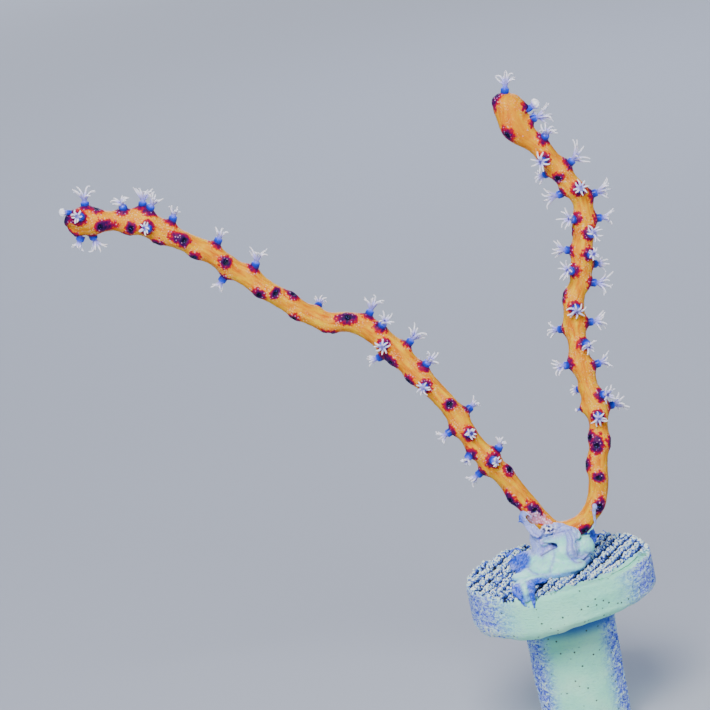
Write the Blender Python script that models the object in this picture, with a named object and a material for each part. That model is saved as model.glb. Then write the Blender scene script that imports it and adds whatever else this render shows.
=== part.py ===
"""A branching gorgonian cutting on its ceramic plug.

Two arms of a sea rod leave one fork, which is glued on the ridged top of a small
plug. Units are metres, +Z runs up the plug's axis, and the origin is the centre
of the stem's flat foot. The colony's fan lies across X, its front towards -Y.
"""

import math

import bmesh
import bpy
import numpy as np
from mathutils import Matrix, Vector

MM = 0.001

# Plug
STEM_LENGTH = 14.0 * MM
STEM_FOOT_RADIUS = 4.45 * MM
STEM_NECK_RADIUS = 4.7 * MM
FOOT_CHAMFER = 0.4 * MM
HEAD_RADIUS = 9.5 * MM
HEAD_THICKNESS = 4.7 * MM
HEAD_LOWER_ROUND = 1.3 * MM
HEAD_ROUND_STEPS = 3
RIM_BEVEL_WIDTH = 0.3 * MM
RIM_BEVEL_HEIGHT = 0.35 * MM
PLUG_SIDES = 32
RIDGE_PITCH = 1.35 * MM
RIDGE_HEIGHT = 0.45 * MM
RIDGE_FOOT_WIDTH = 0.95 * MM
RIDGE_TOP_WIDTH = 0.5 * MM
RIDGE_COUNT = 13
RIDGE_HEADING = math.radians(60)
RIDGE_INSET = 0.35 * MM
RIDGE_OVERHANG = 0.12 * MM
RIDGE_BURY = 0.5 * MM
RIDGE_WEAR = 0.1 * MM
HEAD_TOP = STEM_LENGTH + HEAD_THICKNESS
DECK = HEAD_TOP - RIDGE_HEIGHT

# The colony stands on the plug: the fork's place, and how its fan is turned.
FORK_HEIGHT = 3.6 * MM
FORK = Vector((0.3 * MM, 0, HEAD_TOP + FORK_HEIGHT))
FAN_ROLL = math.radians(12)
FAN_LEAN = math.radians(10)

# Centrelines in mm from the fork: right, depth away from the front, up.
LEFT_ROUTE = (
    (0.3, 0, -0.4), (-0.5, 0, 0.35), (-1.4, 0, 1.1), (-2.1, 0, 1.9), (-4.9, -0.2, 5.3),
    (-8.0, -0.4, 8.8), (-10.8, -0.2, 12.9), (-14.1, 0.3, 16.3), (-17.1, 0.7, 19.3),
    (-20.2, 0.9, 21.1), (-23.3, 1.1, 21.4), (-26.3, 1.0, 22.9), (-29.4, 0.8, 24.8),
    (-32.4, 0.6, 26.8), (-35.5, 0.3, 28.7), (-38.6, 0, 30.1), (-41.6, -0.3, 31.4),
    (-44.7, -0.5, 31.7), (-47.8, -0.5, 31.6), (-49.3, -0.6, 31.0),
)
RIGHT_ROUTE = (
    (-0.2, 0, -0.1), (0.9, 0, -0.1), (2.4, -0.1, 0.4), (3.7, -0.3, 1.6), (4.4, -0.4, 3.2),
    (4.6, -0.4, 5.1), (4.5, -0.2, 7.1), (4.7, 0, 9.2), (4.5, 0.3, 11.7), (3.7, 0.6, 14.6),
    (2.8, 0.8, 17.3), (2.4, 1.0, 19.9), (2.2, 0.9, 23.0), (2.7, 0.7, 25.5), (3.0, 0.4, 28.6),
    (3.1, 0.1, 31.6), (2.6, -0.2, 33.9), (0.8, -0.5, 36.3), (-1.4, -0.7, 38.8),
    (-3.7, -0.8, 40.7), (-4.5, -0.8, 42.5), (-4.4, -0.9, 44.4),
)

# Rod radius in mm at a distance in mm along each arm.
LEFT_GIRTH = (
    (0, 1.0), (6, 1.05), (12, 0.95), (18, 0.95), (24, 1.1), (30, 1.0), (36, 0.95),
    (41, 1.0), (46, 0.95), (50, 1.0), (54, 1.2), (57, 0.92), (60, 1.2), (62, 1.1),
)
RIGHT_GIRTH = (
    (0, 0.95), (4, 0.9), (6, 1.0), (9, 1.0), (13, 0.9), (16, 1.1), (18, 0.88), (20, 1.0),
    (23, 0.9), (25, 1.05), (30, 0.9), (34, 0.95), (36.5, 0.9), (40, 0.95), (45, 0.95),
    (46.6, 1.3), (48, 1.5), (50.5, 1.4),
)

# Open polyps: mm along the arm, degrees around it from the front towards the
# right-hand side of travel, the crown's spread in mm, degrees of lean to the tip.
LEFT_POLYPS = (
    (9.9, -90, 1.5, 0), (10.2, 20, 1.2, -30), (10.6, 84, 1.2, 30), (12.0, -52, 1.1, -20),
    (13.8, 14, 1.2, 0), (14.9, -80, 1.6, 0), (15.8, 108, 1.3, 10), (20.3, -12, 1.5, 0),
    (21.8, 66, 1.8, 0), (24.6, 90, 2.2, 8), (25.7, -100, 1.3, 25), (26.3, -9, 1.7, 0),
    (27.6, 58, 1.8, 0), (29.1, 92, 2.2, 5), (34.2, 146, 1.4, 0), (42.2, 84, 2.0, 20),
    (44.1, -86, 1.4, 0), (46.6, 90, 1.5, 10), (51.6, 90, 1.3, 15), (53.7, 2, 1.4, 45),
    (53.8, 80, 1.6, -10), (54.9, 100, 2.1, 20), (56.2, 70, 1.7, 45), (59.2, -100, 1.9, -20),
    (59.8, 90, 2.3, 0), (60.4, 30, 1.4, 35), (61.0, -84, 1.3, 40), (7.2, 176, 1.5, 0),
    (12.6, -176, 1.4, 10), (18.3, -172, 1.4, 0), (22.8, 178, 1.4, 0), (31.2, -168, 1.3, 8),
    (38.6, -166, 1.3, 0), (44.6, -176, 1.4, 0), (50.2, -170, 1.4, 10), (57.2, -172, 1.5, 12),
)
RIGHT_POLYPS = (
    (14.6, 0, 1.8, -35), (15.4, 106, 2.0, 0), (16.6, 46, 2.1, -15), (17.8, -142, 1.2, 0),
    (19.7, 90, 1.7, 0), (20.5, -76, 1.7, 5), (22.2, 34, 1.8, -40), (23.9, -118, 1.6, 0),
    (24.4, 90, 1.9, 0), (26.1, 2, 2.1, -35), (28.9, 82, 2.5, 5), (29.9, -48, 2.2, 8),
    (30.6, 116, 1.6, 0), (31.8, 30, 1.3, 15), (31.9, -90, 1.8, 0), (33.9, 26, 2.0, 20),
    (35.2, 88, 1.8, 0), (35.4, -54, 2.2, 15), (37.3, 90, 2.2, 0), (38.5, 20, 1.7, 15),
    (39.0, -88, 2.4, 20), (41.0, 74, 3.0, 10), (41.4, -120, 1.6, 10), (43.0, -24, 2.2, 20),
    (44.5, 60, 2.1, 20), (46.6, 84, 2.5, -25), (7.6, 176, 1.5, 0), (12.6, -176, 1.4, 0),
    (21.6, 178, 1.5, 5), (27.3, -178, 1.4, 0), (33.4, 176, 1.5, 0), (37.6, 178, 1.5, 0),
    (43.8, -176, 1.5, 10),
)

# The crown at the right arm's very tip stands left of the middle on a long stalk.
TIP_CROWN_SPREAD = 2.0 * MM
TIP_CROWN_STALK = 1.15 * MM
TIP_CROWN_SHIFT = 0.65 * MM
TIP_CROWN_RISE = 0.75

# Withdrawn polyps leave a low calyx: mm along the arm, degrees around it.
LEFT_CALYCES = (
    (3.5, 17), (5.8, -50), (8.3, 55), (17.3, 15), (21.9, -60), (24.5, -55), (30.7, 35),
    (32.5, -75), (36.0, -60), (37.3, 75), (39.0, 20), (40.3, -35), (44.9, 15), (48.0, -55),
    (49.7, 15), (52.0, -65), (55.3, -18), (55.6, -78), (58.4, -16), (58.7, 80),
    (9.6, -140), (15.5, -178), (27.4, 160), (34.8, -160), (41.6, 150), (47.5, -170), (53.9, 168),
)
RIGHT_CALYCES = (
    (3.1, 35), (5.7, 15), (8.4, -5), (9.7, -75), (11.6, -20), (12.0, 72), (12.5, -62),
    (27.0, -90), (34.0, -104), (40.6, -32), (47.2, -44),
    (10.2, 150), (15.4, 178), (24.6, -165), (30.3, 172), (40.6, 160), (46.2, -150),
)

# Buds, the polyps half drawn in: as the open ones, with the bud's radius in mm.
LEFT_BUDS = ((61.2, 60, 0.3, 60),)
RIGHT_BUDS = ((15.8, -92, 0.2, 0), (47.4, 100, 0.22, 0), (48.9, 78, 0.42, 25))

ROD_SIDES = 10
RING_SPACING = 0.75 * MM
CALYX_RISE_OPEN = 0.5 * MM
CALYX_RISE_CLOSED = 0.36 * MM
CALYX_WIDTH = 0.7 * MM
CALYX_MOST_RISE = 0.6 * MM
POLYP_STALK = 0.7 * MM
POLYP_FOOT_RADIUS = 0.46 * MM
POLYP_NECK_RADIUS = 0.4 * MM
POLYP_ROOT = 0.8 * MM
MOUTH_RISE = 0.05 * MM
TENTACLES = 8
TENTACLE_RISE = 0.5
TENTACLE_STAGGER = 0.15
ROUTE_STEPS = 24
TANGENT_REACH = 0.3 * MM
TIP_STATIONS = (0.4, 0.75, 0.97)
BUD_STALK_SHARE = 0.8
BUD_END_SHARE = 0.5

# Trunk and the gaps that keep touching solids apart
TRUNK_REACH = 2.0 * MM
TRUNK_KNOT_RADIUS = 1.25 * MM
TRUNK_FOOT = 2.4 * MM
TRUNK_FOOT_SHARE = 0.85
TRUNK_SIDES = 12
GAP = 0.3 * MM
SOCKET_REACH = 5.0 * MM

# Glue mound sections: height over the head's top, centre x and y, half width, half depth.
GLUE_SECTIONS = (
    (0.3, -0.4, -0.6, 4.3, 4.0), (0.55, -0.4, -0.6, 4.4, 4.0), (1.1, 0.2, -0.5, 3.8, 3.4),
    (2.0, 0.7, -0.2, 3.2, 2.7), (3.0, 0.7, 0.0, 3.0, 2.2), (3.7, 0.6, 0.0, 2.8, 1.8),
    (4.1, 0.4, -0.1, 2.2, 1.3),
)
GLUE_SIDES = 22
GLUE_FOLDS = 5
GLUE_FOLD_DEPTH = 0.07
GLUE_FOLD_TWIST = 0.8


def clear_scene():
    for obj in list(bpy.data.objects):
        bpy.data.objects.remove(obj, do_unlink=True)


def material(name, rgb, roughness, metallic=0.0):
    made = bpy.data.materials.new(name)
    made.use_nodes = True
    shader = made.node_tree.nodes["Principled BSDF"]
    shader.inputs["Base Color"].default_value = (*rgb, 1)
    shader.inputs["Roughness"].default_value = roughness
    shader.inputs["Metallic"].default_value = metallic
    return made


def object_from(name, bm, finish=None):
    """The object that holds this bmesh, its faces turned outwards."""
    bmesh.ops.recalc_face_normals(bm, faces=bm.faces)
    mesh = bpy.data.meshes.new(name)
    bm.to_mesh(mesh)
    bm.free()
    obj = bpy.data.objects.new(name, mesh)
    bpy.context.scene.collection.objects.link(obj)
    if finish:
        mesh.materials.append(finish)
    return obj


def combined(obj, other, operation):
    """Applies one exact Boolean of obj with other, and removes other."""
    modifier = obj.modifiers.new(operation.title(), "BOOLEAN")
    modifier.operation = operation
    modifier.solver = "EXACT"
    modifier.use_self = True
    modifier.object = other
    graph = bpy.context.evaluated_depsgraph_get()
    mesh = bpy.data.meshes.new_from_object(obj.evaluated_get(graph))
    obj.modifiers.remove(modifier)
    obj.data = mesh
    bpy.data.objects.remove(other, do_unlink=True)
    return obj


def smooth(obj, angle=40):
    obj.data.shade_smooth()
    obj.data.set_sharp_from_angle(angle=math.radians(angle))


def skin_rings(bm, rings):
    """Closes a row of equal vertex rings into one skin with flat ends."""
    loops = [[bm.verts.new(point) for point in ring] for ring in rings]
    for low, high in zip(loops, loops[1:]):
        for i in range(len(low)):
            j = (i + 1) % len(low)
            bm.faces.new((low[i], low[j], high[j], high[i]))
    bm.faces.new(loops[0][::-1])
    bm.faces.new(loops[-1])


class Arm:
    """A curved rod: its centreline, its girth and the calyx mounds on it."""

    def __init__(self, route, girth, open_polyps, calyces, buds):
        self.points = self.placed(route)
        lengths = [(b - a).length for a, b in zip(self.points, self.points[1:])]
        self.along = np.concatenate([[0], np.cumsum(lengths)])
        self.length = float(self.along[-1])
        self.girth = np.array(girth) * MM
        self.mounds = [(row[0] * MM, math.radians(row[1]), CALYX_RISE_OPEN) for row in open_polyps]
        self.mounds += [(s * MM, math.radians(a), CALYX_RISE_CLOSED) for s, a in calyces]
        self.mounds += [(row[0] * MM, math.radians(row[1]), CALYX_RISE_OPEN) for row in buds]

    @staticmethod
    def placed(route):
        """A Catmull-Rom curve through the route, turned and set on the fork."""
        turn = Matrix.Rotation(FAN_ROLL, 4, "Y") @ Matrix.Rotation(-FAN_LEAN, 4, "X")
        knots = [Vector(point) * MM for point in route]
        knots = [2 * knots[0] - knots[1], *knots, 2 * knots[-1] - knots[-2]]
        curve = []
        for a, b, c, d in zip(knots, knots[1:], knots[2:], knots[3:]):
            for step in range(ROUTE_STEPS):
                t = step / ROUTE_STEPS
                curve.append(
                    0.5 * (2 * b + (c - a) * t + (2 * a - 5 * b + 4 * c - d) * t**2
                           + (3 * b - a - 3 * c + d) * t**3)
                )
        curve.append(knots[-2])
        return [FORK + turn @ point for point in curve]

    def frame(self, s):
        """The place at s along the arm, with its tangent, front and right-hand side."""
        grid = np.array([tuple(point) for point in self.points])
        ahead = min(s + TANGENT_REACH, self.length)
        behind = max(s - TANGENT_REACH, 0)
        place, ahead, behind = (
            Vector([np.interp(at, self.along, grid[:, k]) for k in range(3)])
            for at in (s, ahead, behind)
        )
        tangent = (ahead - behind).normalized()
        front = Vector((0, -1, 0))
        front = (front - tangent * front.dot(tangent)).normalized()
        return place, tangent, front, tangent.cross(front)

    def outward(self, s, around):
        place, tangent, front, side = self.frame(s)
        return place, tangent, front * math.cos(around) + side * math.sin(around)

    def radius(self, s, around):
        core = float(np.interp(s, self.girth[:, 0], self.girth[:, 1]))
        rise = 0
        for mound_s, mound_around, height in self.mounds:
            turn = math.remainder(around - mound_around, math.tau) * core
            rise += height * math.exp(-((s - mound_s) ** 2 + turn**2) / CALYX_WIDTH**2)
        return core + min(rise, CALYX_MOST_RISE)

    def ring(self, s, shrink=1.0, grow=0.0):
        ring = []
        for i in range(ROD_SIDES):
            around = math.tau * i / ROD_SIDES
            place, _, out = self.outward(s, around)
            ring.append(place + out * (self.radius(s, around) * shrink + grow))
        return ring

    def rod(self, bm, start, end, round_tip=False, grow=0.0):
        """A skin from start to end, with a flat or a round far end."""
        tip = float(self.girth[-1, 1]) if round_tip else 0
        count = max(2, round((end - tip - start) / RING_SPACING))
        stations = [start + (end - tip - start) * i / count for i in range(count + 1)]
        rings = [self.ring(s, grow=grow) for s in stations]
        for t in TIP_STATIONS if round_tip else ():
            rings.append(self.ring(end - tip + tip * t, shrink=math.sqrt(1 - t**2)))
        skin_rings(bm, rings)


def add_crown(bm, seat, axis, spread, stalk, twist, rise=TENTACLE_RISE):
    """One open polyp: a column from the seat and eight tentacles that spread."""
    axis = axis.normalized()
    across = axis.orthogonal().normalized()
    across = Matrix.Rotation(twist, 3, axis) @ across
    over = axis.cross(across)

    def at(radius, height, turn):
        return seat + axis * height + (across * math.cos(turn) + over * math.sin(turn)) * radius

    turns = [math.tau * i / TENTACLES for i in range(TENTACLES)]
    foot = [bm.verts.new(at(POLYP_FOOT_RADIUS, -POLYP_ROOT, turn)) for turn in turns]
    rim = [bm.verts.new(at(POLYP_NECK_RADIUS, stalk, turn)) for turn in turns]
    mouth = bm.verts.new(at(0, stalk + MOUTH_RISE, 0))
    bm.faces.new(foot[::-1])
    for i, turn in enumerate(turns):
        j = (i + 1) % TENTACLES
        middle = turn + math.pi / TENTACLES
        lift = rise * spread * (1 + TENTACLE_STAGGER * (-1) ** (i + 1))
        tip = bm.verts.new(at(spread / 2, stalk + lift, middle))
        bm.faces.new((foot[i], foot[j], rim[j], rim[i]))
        bm.faces.new((rim[i], rim[j], tip))
        bm.faces.new((rim[j], mouth, tip))
        bm.faces.new((mouth, rim[i], tip))


def add_bud(bm, seat, axis, radius, stalk):
    """A polyp half drawn in: a short column under a rounded knob."""
    turn = axis.to_track_quat("Z", "Y").to_matrix().to_4x4()
    profile = (
        (-POLYP_ROOT, BUD_STALK_SHARE), (0.6 * stalk, BUD_STALK_SHARE),
        (stalk + 0.5 * radius, 1), (stalk + 1.5 * radius, BUD_END_SHARE),
    )
    rings = []
    for height, share in profile:
        ring = [(math.cos(a) * radius * share, math.sin(a) * radius * share, height)
                for a in (math.tau * i / TENTACLES for i in range(TENTACLES))]
        rings.append([seat + turn @ Vector(point) for point in ring])
    skin_rings(bm, rings)


def branch(name, arm, polyps, buds, finish, tip_crown=False):
    """An arm from beyond the trunk to its tip, with its polyps fused to it."""
    rod = bmesh.new()
    arm.rod(rod, TRUNK_REACH + GAP, arm.length, round_tip=True)
    obj = object_from(name, rod, finish)
    crowns = bmesh.new()
    for i, (s, degrees, spread, lean) in enumerate(polyps):
        around = math.radians(degrees)
        place, tangent, out = arm.outward(s * MM, around)
        seat = place + out * arm.radius(s * MM, around)
        tilt = math.radians(lean)
        axis = out * math.cos(tilt) + tangent * math.sin(tilt)
        add_crown(crowns, seat, axis, spread * MM, POLYP_STALK, twist=0.7 * i)
    for s, degrees, radius, lean in buds:
        around = math.radians(degrees)
        place, tangent, out = arm.outward(s * MM, around)
        tilt = math.radians(lean)
        axis = out * math.cos(tilt) + tangent * math.sin(tilt)
        seat = place + out * arm.radius(s * MM, around)
        add_bud(crowns, seat, axis, radius * MM, POLYP_STALK)
    if tip_crown:
        place, tangent, left = arm.outward(arm.length, math.radians(-90))
        add_crown(crowns, place + left * TIP_CROWN_SHIFT, tangent, TIP_CROWN_SPREAD,
                  TIP_CROWN_STALK, twist=0.2, rise=TIP_CROWN_RISE)
    return combined(obj, object_from(name + "_crowns", crowns), "UNION")


def trunk_solid(name, left, right, grow=0.0, reach=TRUNK_REACH):
    """The fork: both arms' first stretch, a knot between them and the cut foot."""
    bm = bmesh.new()
    left.rod(bm, 0.0, reach, grow=grow)
    obj = object_from(name, bm)
    bm = bmesh.new()
    right.rod(bm, 0.0, reach, grow=grow)
    obj = combined(obj, object_from(name + "_right", bm), "UNION")
    bm = bmesh.new()
    radius = TRUNK_KNOT_RADIUS + grow
    bmesh.ops.create_cone(
        bm, cap_ends=True, segments=TRUNK_SIDES, radius1=radius * TRUNK_FOOT_SHARE, radius2=radius,
        depth=TRUNK_FOOT + grow,
        matrix=Matrix.Translation(FORK - Vector((0, 0, (TRUNK_FOOT + grow) / 2))),
    )
    return combined(obj, object_from(name + "_foot", bm), "UNION")


def plug(finish):
    """The turned plug with the pressed ridges fused on its top."""
    corner = HEAD_LOWER_ROUND
    profile = [(STEM_FOOT_RADIUS - FOOT_CHAMFER, 0), (STEM_FOOT_RADIUS, FOOT_CHAMFER)]
    profile.append((STEM_NECK_RADIUS, STEM_LENGTH))
    for step in range(HEAD_ROUND_STEPS + 1):
        turn = math.radians(90 * step / HEAD_ROUND_STEPS)
        profile.append((HEAD_RADIUS - corner * (1 - math.sin(turn)),
                        STEM_LENGTH + corner * (1 - math.cos(turn))))
    profile.append((HEAD_RADIUS, DECK - RIM_BEVEL_HEIGHT))
    profile.append((HEAD_RADIUS - RIM_BEVEL_WIDTH, DECK))
    bm = bmesh.new()
    rings = []
    for radius, height in profile:
        turns = [math.tau * i / PLUG_SIDES for i in range(PLUG_SIDES)]
        rings.append([Vector((radius * math.cos(a), radius * math.sin(a), height)) for a in turns])
    skin_rings(bm, rings)
    obj = object_from("plug", bm, finish)
    ridges = bmesh.new()
    turn = Matrix.Rotation(RIDGE_HEADING, 3, "Z")
    for i in range(RIDGE_COUNT):
        offset = (i - (RIDGE_COUNT - 1) / 2) * RIDGE_PITCH
        reach = HEAD_RADIUS - RIDGE_INSET + RIDGE_OVERHANG * (-1) ** i
        half = math.sqrt(reach**2 - offset**2)
        section = (
            (-RIDGE_FOOT_WIDTH / 2, DECK - RIDGE_BURY), (RIDGE_FOOT_WIDTH / 2, DECK - RIDGE_BURY),
            (RIDGE_FOOT_WIDTH / 2, DECK), (RIDGE_TOP_WIDTH / 2, HEAD_TOP - RIDGE_WEAR * (i % 3)),
            (-RIDGE_TOP_WIDTH / 2, HEAD_TOP - RIDGE_WEAR * (i % 2)), (-RIDGE_FOOT_WIDTH / 2, DECK),
        )
        ends = []
        for end in (-half, half):
            ends.append([turn @ Vector((end, offset + across, height)) for across, height in section])
        skin_rings(ridges, ends)
    return combined(obj, object_from("ridges", ridges), "UNION")


def glue(finish, left, right):
    """The folded mound, hollowed where the cutting's foot stands in it."""
    bm = bmesh.new()
    rings = []
    for level, (height, x, y, wide, deep) in enumerate(GLUE_SECTIONS):
        ring = []
        for i in range(GLUE_SIDES):
            turn = math.tau * i / GLUE_SIDES
            swell = math.sin(GLUE_FOLDS * turn + GLUE_FOLD_TWIST * level)
            fold = 1 + GLUE_FOLD_DEPTH * swell
            ring.append(Vector((x + wide * fold * math.cos(turn), y + deep * fold * math.sin(turn),
                                height)) * MM + Vector((0, 0, HEAD_TOP)))
        rings.append(ring)
    skin_rings(bm, rings)
    obj = object_from("glue", bm, finish)
    return combined(obj, trunk_solid("socket", left, right, GAP, SOCKET_REACH), "DIFFERENCE")


def main():
    clear_scene()
    clay = material("fired_clay", (0.66, 0.95, 0.83), 0.85)
    gel = material("set_glue", (0.72, 0.86, 0.92), 0.35)
    rind = material("living_rind", (1.0, 0.55, 0.02), 0.55)
    left = Arm(LEFT_ROUTE, LEFT_GIRTH, LEFT_POLYPS, LEFT_CALYCES, LEFT_BUDS)
    right = Arm(RIGHT_ROUTE, RIGHT_GIRTH, RIGHT_POLYPS, RIGHT_CALYCES, RIGHT_BUDS)
    pieces = [plug(clay), glue(gel, left, right)]
    trunk = trunk_solid("trunk", left, right)
    trunk.data.materials.append(rind)
    pieces.append(trunk)
    pieces.append(branch("left_branch", left, LEFT_POLYPS, LEFT_BUDS, rind))
    pieces.append(branch("right_branch", right, RIGHT_POLYPS, RIGHT_BUDS, rind, tip_crown=True))
    for piece in pieces:
        smooth(piece)


main()
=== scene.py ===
# %% [markdown]
# This is a cutting of a branching sea rod, a soft coral, glued on a small ceramic plug as
# reef keepers grow it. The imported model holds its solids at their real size, and this
# script dresses them: a finer skin for the colony, its open and closed polyps, the folds
# of the glue, and the pressed clay. Every piece is made in metres, in the solids' frame.

import math

import bpy
import numpy as np
from mathutils import Matrix, Vector, geometry, noise


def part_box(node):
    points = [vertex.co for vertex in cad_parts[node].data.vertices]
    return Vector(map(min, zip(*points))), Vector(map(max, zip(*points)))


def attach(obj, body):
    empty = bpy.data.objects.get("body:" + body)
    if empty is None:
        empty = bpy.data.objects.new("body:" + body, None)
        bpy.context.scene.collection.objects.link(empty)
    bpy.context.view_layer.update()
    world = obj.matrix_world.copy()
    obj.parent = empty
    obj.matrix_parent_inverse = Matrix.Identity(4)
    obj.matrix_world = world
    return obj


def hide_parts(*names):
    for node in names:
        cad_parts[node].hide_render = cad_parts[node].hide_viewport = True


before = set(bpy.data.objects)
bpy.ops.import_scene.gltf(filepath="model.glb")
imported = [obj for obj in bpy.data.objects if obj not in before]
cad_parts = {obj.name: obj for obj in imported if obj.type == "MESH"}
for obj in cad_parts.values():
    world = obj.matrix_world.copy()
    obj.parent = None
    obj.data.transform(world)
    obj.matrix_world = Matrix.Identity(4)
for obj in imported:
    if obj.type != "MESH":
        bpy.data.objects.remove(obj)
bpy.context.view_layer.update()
MM = 0.001
PLUG_LOW, PLUG_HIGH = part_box("plug")
HEAD_TOP = PLUG_HIGH[2]
HEAD_RADIUS = (PLUG_HIGH[0] + PLUG_HIGH[1]) / 2
print("plug head top at", round(HEAD_TOP / MM, 2), "mm, nodes", sorted(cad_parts))

# %% [markdown]
# Two small helpers carry all the materials: one turns a colour, as read off a screen, into
# the linear values that the shader works in, and one adds a node with its settings and
# links. Patterns are sized in millimetres, so a scale is one over the real size.

# %% Colour and node helpers


def linear(code):
    """An sRGB hex value as linear red, green, blue and alpha."""
    parts = [int(code[i:i + 2], 16) / 255 for i in (1, 3, 5)]
    return [c / 12.92 if c <= 0.04045 else ((c + 0.055) / 1.055) ** 2.4 for c in parts] + [1.0]


def add(tree, kind, inputs=None, stops=None, **settings):
    """Adds a node. An input is a value or the socket linked to it; stops fill a colour ramp."""
    node = tree.nodes.new(kind)
    for name, value in settings.items():
        setattr(node, name, value)
    for name, value in (inputs or {}).items():
        if isinstance(value, bpy.types.NodeSocket):
            tree.links.new(value, node.inputs[name])
        else:
            node.inputs[name].default_value = value
    if stops:
        elements = node.color_ramp.elements
        while len(elements) < len(stops):
            elements.new(1.0)
        for element, (place, code) in zip(elements, stops):
            element.position = place
            element.color = linear(code)
    return node


def per_mm(size):
    """The scale of a texture whose grains are this many millimetres apart."""
    return 1 / (size * MM)


def new_material(name):
    made = bpy.data.materials.new(name)
    made.use_nodes = True
    return made, made.node_tree, made.node_tree.nodes["Principled BSDF"]


# %% [markdown]
# The photograph looks down on the plug by about 15 degrees and is turned by about 12, with
# a long lens close in. The camera is placed from the plug's own size: its 19 mm head spans
# 187 pixels, so a millimetre is 9.8 pixels, and the centre of the head's top has its pixel.

# %% Camera
VIEW_DISTANCE = 450 * MM
VIEW_ELEVATION = math.radians(15)
VIEW_ROLL = math.radians(12)
IMAGE_SIZE = 710
PIXELS_PER_MM = 9.8
HEAD_TOP_PIXEL = (557, 563)
SENSOR = 36


def place_camera():
    level = Vector((1, 0, 0))
    rising = Vector((0, math.sin(VIEW_ELEVATION), math.cos(VIEW_ELEVATION)))
    back = Vector((0, -math.cos(VIEW_ELEVATION), math.sin(VIEW_ELEVATION)))
    right = level * math.cos(VIEW_ROLL) - rising * math.sin(VIEW_ROLL)
    up = level * math.sin(VIEW_ROLL) + rising * math.cos(VIEW_ROLL)
    across = (IMAGE_SIZE / 2 - HEAD_TOP_PIXEL[0]) / PIXELS_PER_MM * MM
    above = (HEAD_TOP_PIXEL[1] - IMAGE_SIZE / 2) / PIXELS_PER_MM * MM
    aim = Vector((0, 0, HEAD_TOP)) + right * across + up * above
    camera = bpy.data.objects.new("camera", bpy.data.cameras.new("camera"))
    turn = Matrix((right, up, back)).transposed().to_4x4()
    camera.matrix_world = Matrix.Translation(aim + back * VIEW_DISTANCE) @ turn
    camera.data.sensor_width = SENSOR
    camera.data.lens = SENSOR * VIEW_DISTANCE / (IMAGE_SIZE / PIXELS_PER_MM * MM)
    camera.data.clip_start = 10 * MM
    bpy.context.scene.collection.objects.link(camera)
    bpy.context.scene.camera = camera
    return aim, right, up, back


aim, view_right, view_up, view_back = place_camera()
print("camera aims at", [round(v / MM, 1) for v in aim])

# %% [markdown]
# The stage is a pale floor and three soft lights. A broad key light stands over the
# camera's shoulder, a cooler one fills from each side, and they leave soft blue edges.

# %% Floor and lights
FLOOR_HALF = 1.5
LIGHTS = (
    # name, right, up and towards the camera in mm, size in mm, watts, colour
    ("key", (-60, 170, 330), 150, 2.3, "#FFFDF8"),
    ("left_fill", (-330, 40, 120), 220, 0.4, "#8FB0FF"),
    ("right_fill", (330, 60, 60), 220, 0.4, "#8FB0FF"),
    ("back_rim", (40, 260, -260), 220, 0.5, "#DCE6FF"),
    ("far_floor", (-160, 420, -620), 600, 4.5, "#EAF0FF"),
)


def make_floor():
    mesh = bpy.data.meshes.new("floor")
    corners = [(-FLOOR_HALF, -FLOOR_HALF, 0), (FLOOR_HALF, -FLOOR_HALF, 0),
               (FLOOR_HALF, FLOOR_HALF, 0), (-FLOOR_HALF, FLOOR_HALF, 0)]
    mesh.from_pydata(corners, [], [(0, 1, 2, 3)])
    floor = bpy.data.objects.new("floor", mesh)
    bpy.context.scene.collection.objects.link(floor)
    pale, _, shader = new_material("pale_matt_card")
    shader.inputs["Base Color"].default_value = linear("#A9ADB6")
    shader.inputs["Roughness"].default_value = 0.9
    mesh.materials.append(pale)


def make_lights():
    for name, (across, above, towards), size, watts, colour in LIGHTS:
        lamp = bpy.data.lights.new(name, "AREA")
        lamp.size = size * MM
        lamp.energy = watts
        lamp.color = linear(colour)[:3]
        light = bpy.data.objects.new(name, lamp)
        place = aim + (view_right * across + view_up * above + view_back * towards) * MM
        light.matrix_world = Matrix.Translation(place) @ (
            (place - aim).to_track_quat("Z", "Y").to_matrix().to_4x4())
        bpy.context.scene.collection.objects.link(light)
    world = bpy.data.worlds.new("soft_room")
    world.use_nodes = True
    world.node_tree.nodes["Background"].inputs["Color"].default_value = linear("#EEF2FA")
    world.node_tree.nodes["Background"].inputs["Strength"].default_value = 0.15
    bpy.context.scene.world = world


make_floor()
make_lights()
print(len(LIGHTS), "lights")

# %% [markdown]
# A sea rod's arm is a rod that wanders, with low mounds, the calyces, that its polyps sit
# in. The arms' routes are the solids' own points: right, depth and up in mm from the fork.
# A curve through them gives each arm its centreline, and a frame that runs along it.

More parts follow.
